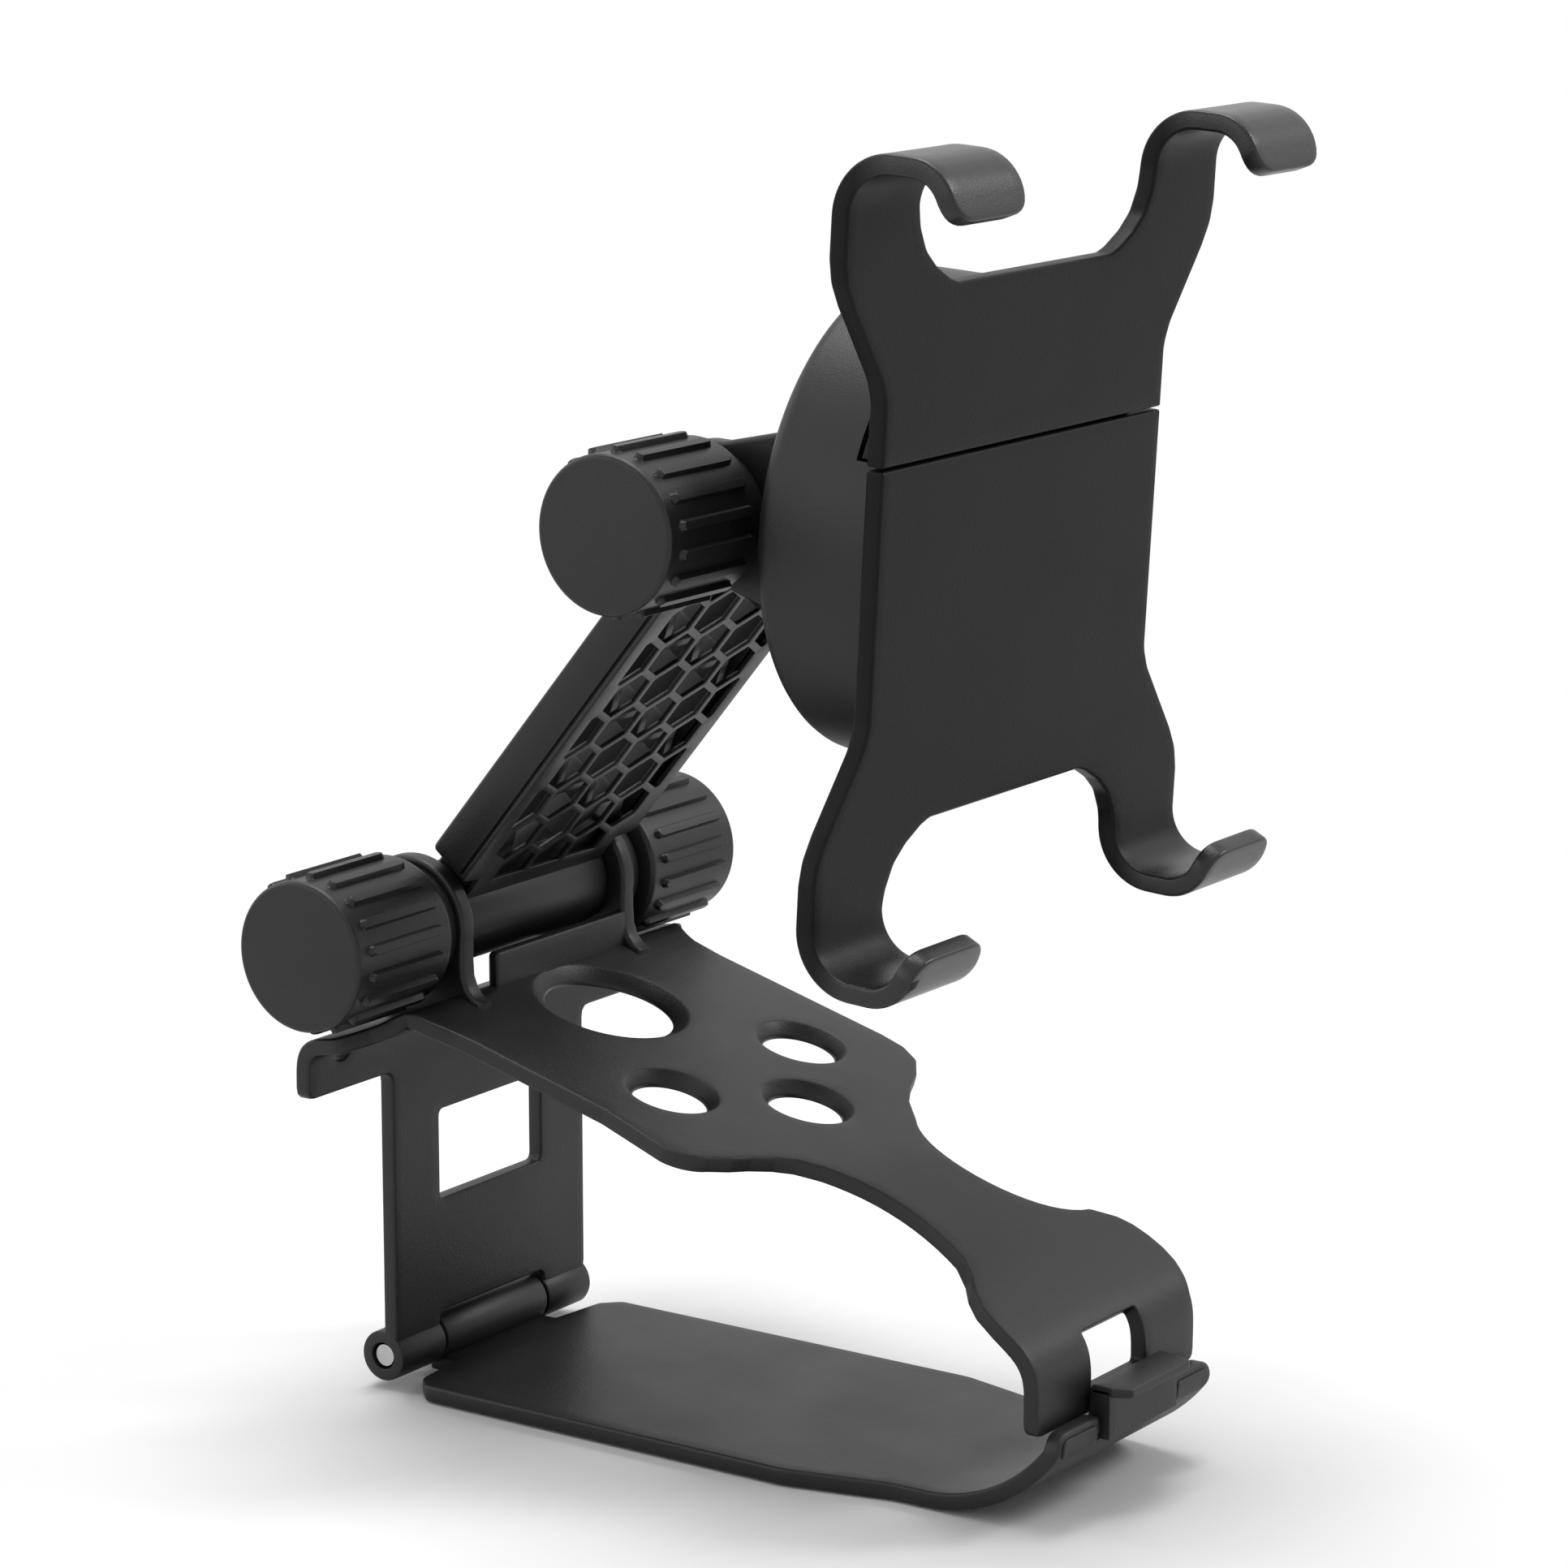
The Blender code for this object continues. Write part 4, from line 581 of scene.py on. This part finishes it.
def knob_skin(place):
    """Radius and height of a lathe profile. On the side the radius also rises by the rib's
    height, as an S-shaped cubic over the width of the rib's flank, where the distance to the
    rib's middle line falls below that of its foot."""
    count = rib_count * steps_per_rib
    angle = np.arange(count) * 2 * np.pi / count
    dome = np.linspace(0, knob_radius - 0.7, 12)
    turn = np.radians(np.linspace(0, 90, 6))
    side = np.linspace(knob_length - 0.55, 0.5, 90)
    profile = np.concatenate([
        np.stack([dome, knob_length + 0.25 * (1 - (dome / (knob_radius - 0.6)) ** 2)], -1),
        np.stack([knob_radius - knob_edge + knob_edge * np.sin(turn),
                  knob_length - knob_edge + knob_edge * np.cos(turn)], -1),
        np.stack([np.full(len(side), knob_radius), side], -1),
        [[knob_radius - 0.15, 0.15], [knob_radius - 0.5, 0], [bolt_bore, 0], [bolt_bore, 9.3], [0, 9.3]]])
    radius, height = profile.T[:, :, None] + 0 * angle
    across = (angle / (2 * np.pi) * rib_count % 1 - 0.5) * 2 * np.pi / rib_count * knob_radius
    straight = (knob_length - 2 * rib_margin) / 2 - rib_half
    reach = np.hypot(across[None, :], np.maximum(np.abs(height - knob_length / 2) - straight, 0))
    rise = np.clip((rib_foot - reach) / rib_flank, 0, 1)
    on_side = (radius > knob_radius - 0.01) & (height > 0.4)
    radius = radius + np.where(on_side, rib_height * rise * rise * (3 - 2 * rise), 0)
    points = np.stack([radius * np.cos(angle), radius * np.sin(angle), height], -1).reshape(-1, 3)
    return place(*points.T), grid_faces(len(profile), count)


def outwards(sign, y, z):
    """Sets a knob's axis along X, with its face to the right for 1 and to the left for -1."""
    return lambda a, b, h: np.stack([sign * (knob_start + h), y + a, z + b], -1)


# The arm leans forward on the lower hinge, and the holder on the upper one at the arm's end.
arm_length, arm_tilt, holder_tilt = 62.3, math.radians(39.5), math.radians(3.3)
top_y, top_z = axis_y - arm_length * math.sin(arm_tilt), axis_z + arm_length * math.cos(arm_tilt)
knob_plastic = moulded_plastic("spark_eroded_abs_knobs", "#161616", "#212121", 0.4, 0.22, 0.025)
for level, y, z in (("lower", axis_y, axis_z), ("upper", top_y, top_z)):
    for side, sign in (("left", -1), ("right", 1)):
        piece(f"ribbed_knob_{level}_{side}", [knob_skin(outwards(sign, y, z))], knob_plastic,
              f"{level}_{side}_knob", [f"{level}_knob_{side}"], sharp=50)


# Bushes. A moulded rubber ring sits between each knob and the lug that the knob tightens
# against, so that the hinge grips. Rubber is duller than the plastic, with a coarser grain. The
# right rings have eased rims, and on the left ones the rims turn out as a thin flange.

bush_radius, bush_start, bush_end, bush_edge = 6.4, 15.8, 17.6, 0.35
rubber = moulded_plastic("bush_rubber", "#0f0f0f", "#161616", 0.7, 0.3, 0.02)
for level, y, z, body in (("lower", axis_y, axis_z, "base"), ("upper", top_y, top_z, "holder")):
    for side, sign in (("left", -1), ("right", 1)):
        sleeve = tube(bush_radius, bolt_bore, bush_start * sign, bush_end * sign, bush_edge * sign)
        ring = lathe(sleeve, along_x(y, z), closed=True)
        piece(f"grip_bush_{level}_{side}", [ring], rubber, body, [f"{level}_bush_{side}"])


# Arm. One ABS moulding: a flat bar with a barrel at each end, and between them a window that
# holds two layers of honeycomb. The front sheet is flush with the bar and has small cells, the
# thicker one behind it has large cells, and a fine groove runs along both sides of the bar.

def on_arm(across, along, height):
    """Across is X, along runs up the bar and height to the front, then the bar is leaned."""
    return turned(np.stack([across, -height, along], -1), arm_tilt, axis_y, axis_z)


def hexagons(centres, radius, first, half_x, low, high, corner):
    """Six-sided outlines: corners at equal angles round each centre. A side that crosses a
    straight edge of the window is cut at the edge: its two ends' distances from the edge
    share the side's length between them. A rest narrower than smallest is left out."""
    made, smallest = [], 1.0
    for centre in centres:
        corners = along_arc(centre, radius, first, first + 300, 6)
        for axis, limit, sign in ((0, half_x, 1), (0, half_x, -1), (1, high, 1), (1, -low, -1)):
            depth = limit - sign * corners[:, axis]
            following, next_depth = np.roll(corners, -1, 0), np.roll(depth, -1)
            share = depth / np.where(depth == next_depth, 1, depth - next_depth)
            met = corners + share[:, None] * (following - corners)
            crosses = depth * next_depth < 0
            both = np.stack([corners, met], 1).reshape(-1, 2)
            corners = both[np.stack([depth >= 0, crosses], 1).reshape(-1)]
            if len(corners) < 3:
                break
        if len(corners) > 2 and np.ptp(corners, 0).min() > smallest:
            made.append(eased(corners, corner, 3))
    return made


bar_front, bar_back, wide_half, narrow_half = 2.2, -3.0, 15.5, 12.2
sheet, lattice, bar_body = 0.5, 4.1, 4.7
bar_half = [[narrow_half, -0.1], [narrow_half, 8.4], [wide_half, 8.8], [wide_half, arm_length - 8.8],
            [narrow_half, arm_length - 8.4], [narrow_half, arm_length + 0.1]]
bar = eased(mirrored(bar_half), [0.1, 0.4, 1.0, 1.0, 0.4, 0.1] * 2, 6)
window_half = [[11.4, 7.2], [11.4, 9.9], [14.6, 9.9], [14.6, arm_length - 9.9],
               [11.4, arm_length - 9.9], [11.4, arm_length - 7.2]]
recess = eased(mirrored(window_half), 0.5, 4)

# The groove runs between the front sheet and the bar's body, whose front edge is set back.
groove = [[0.45, bar_body / 2], [0.45, 2.0], [0.04, 1.97], [0, 1.9]]
back_half = len(rolled_rim(bar_body, 0.5)) // 2
body_edge = np.concatenate([groove, rolled_rim(bar_body, 0.5)[back_half:]])
inner_edge = np.concatenate([[[0, bar_body / 2]], rolled_rim(bar_body, 0.3)[back_half:]])
arm_skins = [moulding([(bar, body_edge), (recess, inner_edge)],
                      lambda a, b, h: on_arm(a, b, h + bar_back + bar_body / 2), 0.8)]

# Both layers share one hexagonal lattice. Every third cell of a row is a large one's centre.
pitch, middle_z, small_wall, large_wall = 6.4, 30.6, 0.9, 1.1
row_step = pitch * math.sqrt(3) / 2
small_centres = [((column + (row % 2) / 2) * pitch, middle_z + row * row_step)
                 for row in range(-4, 5) for column in range(-3, 4)
                 if abs(column + (row % 2) / 2) * pitch < (6.5 if abs(row) == 4 else 12.9)]
large_centres = [((3 * m + (-0.5 if row % 2 else 1)) * pitch, middle_z + row * row_step)
                 for row in range(-3, 4) for m in (-1, 0, 1)]
small_radius = (pitch - small_wall) / math.sqrt(3)
large_radius = (pitch * math.sqrt(3) - large_wall) / math.sqrt(3)
small_cells = hexagons(small_centres, small_radius, 30, 13.3, 7.5, arm_length - 7.5, 0.15)
large_cells = hexagons(large_centres, large_radius, 0, 13.2, 10.6, arm_length - 10.6, 0.1)
sheet_loops = [(bar, rolled_rim(sheet, 0.16, 3))]
sheet_loops += [(cell, rolled_rim(sheet, 0.08, 2)) for cell in small_cells]
arm_skins.append(moulding(sheet_loops, lambda a, b, h: on_arm(a, b, h + bar_front - sheet / 2), 0.7))
square_edge = np.array([[0, lattice / 2], [0, -lattice / 2]])
lattice_loops = [(recess, square_edge)]
lattice_loops += [(cell, rolled_rim(lattice, 0.12, 2)) for cell in large_cells]
arm_skins.append(moulding(lattice_loops, lambda a, b, h: on_arm(a, b, h + bar_back + lattice / 2), 0.7))
barrel = tube(5.6, bolt_bore, -12.9, 12.9, 0.5)
for z in (0.0, arm_length):
    arm_skins.append(lathe(barrel, lambda a, b, h: on_arm(h, z + b, a), 64, closed=True))
arm_plastic = moulded_plastic("spark_eroded_abs_arm", "#141414", "#1e1e1e", 0.42, 0.22, 0.025)
piece("honeycomb_arm", arm_skins, arm_plastic, "tilt_arm", ["arm"])


# Drum. A round ABS cup behind the phone plate that houses the clamp's rods and springs, with
# two flared lugs on its back that carry it on the upper hinge. Matt as the shell.

def on_holder(across, depth, height):
    """Across is X, depth runs forward from the hinge axis and height is up, then all leans."""
    return turned(np.stack([across, -depth, height], -1), holder_tilt, top_y, top_z)


drum_radius, drum_inside, floor_radius, screw_bore = 24.8, 22.8, 23.2, 1.3
drum_back, drum_floor, drum_front, half_floor = 11.6, 13.6, 24.9, 1.0
screw_places = [(side * x, z) for x, z in ((18.8, -5.5), (13.8, -14.2)) for side in (-1, 1)]
sunk = np.array([[1.4, half_floor], [1.2, 0.85], [1.2, -0.4], [0.0, -0.4], [0.0, -half_floor]])
floor_rim = np.array([[0, half_floor], [0, -half_floor]])
floor_loops = [(circle(0, 0, floor_radius, 96), floor_rim)]
floor_loops += [(circle(x, z, screw_bore, 24), sunk) for x, z in screw_places]
drum_skins = [moulding(floor_loops, lambda a, b, h: on_holder(a, drum_back + half_floor - h, b), 1.0)]


def drum_wall():
    """The wall's profile carried round the axis. Above the split its rim is lower, because the
    sliding plate carries that part of the wall: there the depths past the low rim shrink."""
    split, low_rim, low_rim_wall = 9.35, 21.9, 0.2
    step = math.acos(split / drum_radius)
    angle = np.concatenate([np.linspace(-np.pi, np.pi, 241)[:-1],
                            [-step - 0.002, -step, step, step + 0.002]])
    angle = np.sort(angle)
    roll = drum_radius - floor_radius
    turn = np.radians(np.linspace(0, 90, 7))
    outer = np.concatenate([
        [[floor_radius, drum_back]],
        np.stack([floor_radius + roll * np.sin(turn), drum_back + roll - roll * np.cos(turn)], -1)[1:],
        np.stack([np.full(24, drum_radius), np.linspace(13.7, 24.6, 24)], -1),
        [[24.76, 24.81], [24.66, drum_front], [22.9, drum_front], [drum_inside, 24.8],
         [drum_inside, drum_floor], [floor_radius, drum_floor]]])
    radius, depth = outer.T[:, :, None] + 0 * angle
    pressed = (np.abs(angle) < step + 0.001)[None, :] & (depth > low_rim)
    share = low_rim_wall / (drum_front - low_rim)
    depth = np.where(pressed, low_rim + (depth - low_rim) * share, depth)
    points = on_holder((radius * np.sin(angle)).ravel(), depth.ravel(), (radius * np.cos(angle)).ravel())
    return points, grid_faces(len(outer), len(angle), closed=True)


drum_skins.append(drum_wall())
eye = 7.2
bracket = np.concatenate([[[12.4, 10.4], [1.0, eye]], along_arc((0, 0), eye, 90, 270, 40)[1:],
                          [[1.0, -eye], [12.4, -10.4]]])
for low, high in lug_spans:
    drum_skins.append(moulding([(bracket, lug_rim)],
                               lambda a, b, h: on_holder((low + high) / 2 + h, a, b), 0.7))
clamp_plastic = moulded_plastic("spark_eroded_abs_clamp", "#141414", "#1f1f1f", 0.44, 0.22, 0.03)
piece("clamp_drum", drum_skins, clamp_plastic, "holder", ["drum_housing"])


# Phone plate. Two ABS plates with a pair of claws each, moulded in one with the plate. The
# lower one is screwed to the drum, the upper one slides. Their front faces are matt and the
# claws a little smoother, where use polishes them.

plate_wall, plate_depth, plate_start, plate_side = 2.0, 26.2, -12.0, 26.0
claw_side, claw_inside = 34.3, 21.8
claw_bend, claw_bend_z, lip_bend, lip_depth, lip_end, lip_length = 5.4, 34.5, 4.2, 33.8, 24, 2.6
lip_turn = math.radians(lip_end - 90)
claw_line = np.concatenate([
    [[plate_depth, plate_start]], along_arc((plate_depth + claw_bend, claw_bend_z), claw_bend, 180, 90, 24),
    along_arc((lip_depth, claw_bend_z + claw_bend - lip_bend), lip_bend, 90, lip_end, 18)])
lip = claw_line[-1:] + lip_length * np.array([[math.cos(lip_turn), math.sin(lip_turn)]])
claw_line = np.concatenate([claw_line, lip])
claw_run = measured(claw_line)[1] + plate_start
claw_end = claw_run[-1]


def on_plate(up):
    """Along runs up the plate, then round the claw's line; height is square to it, towards
    the phone. up is -1 for the lower plate, which mirrors the upper one."""
    def place(across, along, height):
        fine = np.linspace(plate_start, claw_end, 400)
        depth, z, td, tz = bent(fine, at_distances(fine, claw_run, claw_line), along)
        return on_holder(across, depth + tz * height, up * (z - td * height))
    return place


def plate_half(edge, base):
    """Right half of a plate's unrolled outline, from its base over the arm to the notch."""
    flare = [[plate_side, base], [plate_side, 16.0], [26.9, 18.2], [32.4, 25.6], [33.8, 28.0],
             [claw_side, 30.4], [claw_side, claw_end]]
    notch = [[claw_inside, claw_end], [claw_inside, claw_bend_z], [21.45, edge + 6.0],
             [20.2, edge + 3.6], [18.2, edge + 1.9], [15.6, edge + 0.5], [14.0, edge]]
    return flare + notch


def polish_claws(finish):
    """The specular level rises and the roughness falls with the distance by which a place
    stands in front of the plate's face: its dot product with the holder's forward direction,
    less that of the face. So the claws catch more of the light, in brighter, tighter glints."""
    tree = finish.node_tree
    shader = tree.nodes["Principled BSDF"]
    lean_y, lean_z = math.cos(holder_tilt), math.sin(holder_tilt)
    face = (plate_depth + plate_wall / 2 - top_y * lean_y - top_z * lean_z) * mm
    start, full = face + 0.5 * mm, face + 4 * mm
    spot = add(tree, "ShaderNodeTexCoord").outputs["Object"]
    forward = add(tree, "ShaderNodeVectorMath", {"operation": "DOT_PRODUCT"}, Vector=spot)
    forward.inputs[1].default_value = (0, -lean_y, -lean_z)
    worn = ranged(tree, forward.outputs["Value"], start, full, 0.11, 0.4)
    tree.links.new(worn, shader.inputs["Specular IOR Level"])
    matt = shader.inputs["Roughness"].links[0].from_socket
    polish = ranged(tree, forward.outputs["Value"], start, full, 0.0, 0.1)
    tree.links.new(maths(tree, "SUBTRACT", matt, polish), shader.inputs["Roughness"])


def sliding_parts():
    """What the sliding plate carries behind its face: the upper part of the drum's wall as a
    band between two circles, a backing plate, a tongue over the split, and the slider, whose
    two bores let the guide rods and the springs through."""
    skirt_middle, skirt_depth, slider_middle, slider_height = 24.1, 3.0, 16.85, 4.7
    above = math.degrees(math.asin(9.65 / drum_radius))
    skirt = np.concatenate([along_arc((0, 0), drum_radius, above, 180 - above, 120),
                            along_arc((0, 0), drum_inside, 180 - above, above, 120)])
    made = [moulding([(skirt, rolled_rim(skirt_depth, 0.15, 3))],
                     lambda a, b, h: on_holder(a, skirt_middle + h, b), 0.6)]
    for low_z, high_z, back, front in ((-19.5, 18.6, 22.6, 24.7), (10.2, 18.6, 24.6, 25.6)):
        plan = eased([[-11.0, low_z], [11.0, low_z], [11.0, high_z], [-11.0, high_z]], 0.4, 4)
        made.append(moulding([(plan, rolled_rim(front - back, 0.2, 2))],
                             lambda a, b, h: on_holder(a, (front + back) / 2 + h, b), 1.5))
    slider_rim = rolled_rim(slider_height, 0.1, 2)
    slider = eased([[-10.4, 15.1], [10.4, 15.1], [10.4, 23.0], [-10.4, 23.0]], 0.4, 4)
    bores = [(circle(x, 18.1, 2.65, 32), slider_rim) for x in (-7.5, 7.5)]
    made.append(moulding([(slider, slider_rim)] + bores,
                         lambda a, b, h: on_holder(a, b, h - slider_middle), 1.0))
    return made


def plate_skin(up, edge, base):
    """A plate with its two claws, bent from one flat outline."""
    radii = [0.3, 4.0, 5.0, 5.0, 4.0, 3.0, 3.0, 3.0, 6.0, 3.0, 3.0, 4.0, 3.0, 3.0]
    rim = eased(mirrored(plate_half(edge, base)), radii + radii[::-1], 8)
    return moulding([(rim, rolled_rim(plate_wall, 0.35))], on_plate(up), 0.5)


plate_plastic = moulded_plastic("spark_eroded_abs_plates", "#101010", "#181818", 0.42, 0.22, 0.03)
polish_claws(plate_plastic)
lower_skins, screw_boss = [plate_skin(-1, 27.0, -9.25)], tube(2.2, screw_bore, 13.9, 25.6)
for x, z in screw_places:
    lower_skins.append(lathe(screw_boss, lambda a, b, h: on_holder(x + a, h, z + b), 24, closed=True))
piece("lower_phone_plate", lower_skins, plate_plastic, "holder", ["lower_plate"])
piece("sliding_phone_plate", [plate_skin(1, 26.5, 9.55)] + sliding_parts(), plate_plastic,
      "clamp_carriage", ["carriage"])


# Bolts, pins, rods, springs and screws. Steel, turned or drawn, then zinc plated and passivated,
# which leaves a pale satin grey with fine lines round the shaft. They keep the solids' shapes.

steel, steel_tree, steel_shader = new_finish("zinc_plated_steel")
steel_shader.inputs["Metallic"].default_value = 1.0
steel_place = add(steel_tree, "ShaderNodeTexCoord").outputs["Object"]
steel_lines = add(steel_tree, "ShaderNodeTexNoise", {"Scale": 2500.0, "Detail": 2.0},
                  Vector=steel_place).outputs["Fac"]
steel_tint = shade_between(steel_tree, steel_lines, "#a9abad", "#c2c3c2")
steel_tree.links.new(steel_tint, steel_shader.inputs["Base Color"])
steel_gloss = ranged(steel_tree, steel_lines, 0.0, 1.0, 0.28, 0.45)
steel_tree.links.new(steel_gloss, steel_shader.inputs["Roughness"])
paired = [f"{kind}_{side}" for side in ("left", "right")
          for kind in ("guide_rod", "clamp_spring", "housing_screw_upper", "housing_screw_lower")]
for name in ["lower_bolt", "upper_bolt", "strap_pin", "latch_pin", "latch_spring"] + paired:
    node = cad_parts[name]
    node.data.materials.clear()
    node.data.materials.append(steel)


# Studio. A white painted floor: close to the clip it keeps the clip's shadow, and farther out
# it is plain white, as the room is. The light comes from a large softbox overhead and one high
# at the front right, with weaker ones at the left and behind.

def add_white_ray(tree):
    """One for the rays by which the camera, gloss and glass see the background, else nought:
    the largest of the three ray kinds."""
    path = add(tree, "ShaderNodeLightPath").outputs
    seen = maths(tree, "MAXIMUM", path["Is Camera Ray"], path["Is Glossy Ray"])
    return maths(tree, "MAXIMUM", seen, path["Is Transmission Ray"])


paint, paint_tree, paint_shader = new_finish("white_floor_paint")
paint_shader.inputs["Base Color"].default_value = from_hex("#f4f4f4")
paint_shader.inputs["Roughness"].default_value = 0.9
spot = add(paint_tree, "ShaderNodeTexCoord").outputs["Object"]
away = add(paint_tree, "ShaderNodeVectorMath", {"operation": "LENGTH"}, Vector=spot)
shadow_ends, white_starts = 0.06, 0.2
far = ranged(paint_tree, away.outputs["Value"], shadow_ends, white_starts)
far_seen = maths(paint_tree, "MULTIPLY", far, add_white_ray(paint_tree))
glow = add(paint_tree, "ShaderNodeEmission", {"Color": (1, 1, 1, 1), "Strength": 1.0})
floor_mix = add(paint_tree, "ShaderNodeMixShader", Fac=far_seen)
paint_tree.links.new(paint_shader.outputs[0], floor_mix.inputs[1])
paint_tree.links.new(glow.outputs[0], floor_mix.inputs[2])
paint_tree.links.new(floor_mix.outputs[0], paint_tree.nodes["Material Output"].inputs["Surface"])
floor_half, floor_z = 6, -0.0002
floor_mesh = bpy.data.meshes.new("floor")
floor_corners = [(x * floor_half, y * floor_half, floor_z) for x, y in ((-1, -1), (1, -1), (1, 1), (-1, 1))]
floor_mesh.from_pydata(floor_corners, [], [(0, 1, 2, 3)])
floor = bpy.data.objects.new("floor", floor_mesh)
floor_mesh.materials.append(paint)
bpy.context.scene.collection.objects.link(floor)

world = bpy.data.worlds.new("white_room")
bpy.context.scene.world = world
world.use_nodes = True
room = world.node_tree
for node in list(room.nodes):
    room.nodes.remove(node)
dim_room = add(room, "ShaderNodeBackground", {"Color": (1, 1, 1, 1), "Strength": 0.35})
white_room = add(room, "ShaderNodeBackground", {"Color": (1, 1, 1, 1), "Strength": 1.0})
either = add(room, "ShaderNodeMixShader", Fac=add_white_ray(room))
room.links.new(dim_room.outputs[0], either.inputs[1])
room.links.new(white_room.outputs[0], either.inputs[2])
add(room, "ShaderNodeOutputWorld", Surface=either.outputs[0])


def lamp(name, place, aim, size, power):
    """A square area light at a place, turned to a point."""
    light = bpy.data.lights.new(name, "AREA")
    light.shape = "SQUARE"
    light.size = size
    light.energy = power
    made = bpy.data.objects.new(name, light)
    bpy.context.scene.collection.objects.link(made)
    made.location = place
    made.rotation_euler = Vector(np.array(aim) - np.array(place)).to_track_quat("-Z", "Y").to_euler()


lamp("softbox_overhead", (0.1, 0.15, 1.0), (0, 0, 0.07), 0.7, 8.0)
lamp("softbox_right", (0.75, -0.75, 0.85), (0, 0, 0.07), 0.3, 5.0)
lamp("softbox_left", (-0.9, 0.5, 0.35), (0, 0, 0.07), 0.4, 1.0)
lamp("softbox_behind", (-0.3, 1.0, 0.6), (0, 0, 0.08), 0.5, 1.6)


# Camera. It looks down a little from the front left, through a long lens, so that the clip has
# the size that it has in the photograph.

azimuth, elevation = math.radians(-55.42), math.radians(12.25)
flat = math.cos(elevation)
backwards = Vector((math.sin(azimuth) * flat, -math.cos(azimuth) * flat, math.sin(elevation)))
camera_data = bpy.data.cameras.new("camera")
camera_data.lens = 120.9
camera_data.sensor_width = 36.0
camera_data.clip_start, camera_data.clip_end = 0.02, 30.0
camera = bpy.data.objects.new("camera", camera_data)
bpy.context.scene.collection.objects.link(camera)
camera.location = (-0.44086, -0.30182, 0.18537)
camera.rotation_euler = (-backwards).to_track_quat("-Z", "Y").to_euler()
bpy.context.scene.camera = camera
bpy.context.scene.view_settings.view_transform = "Standard"
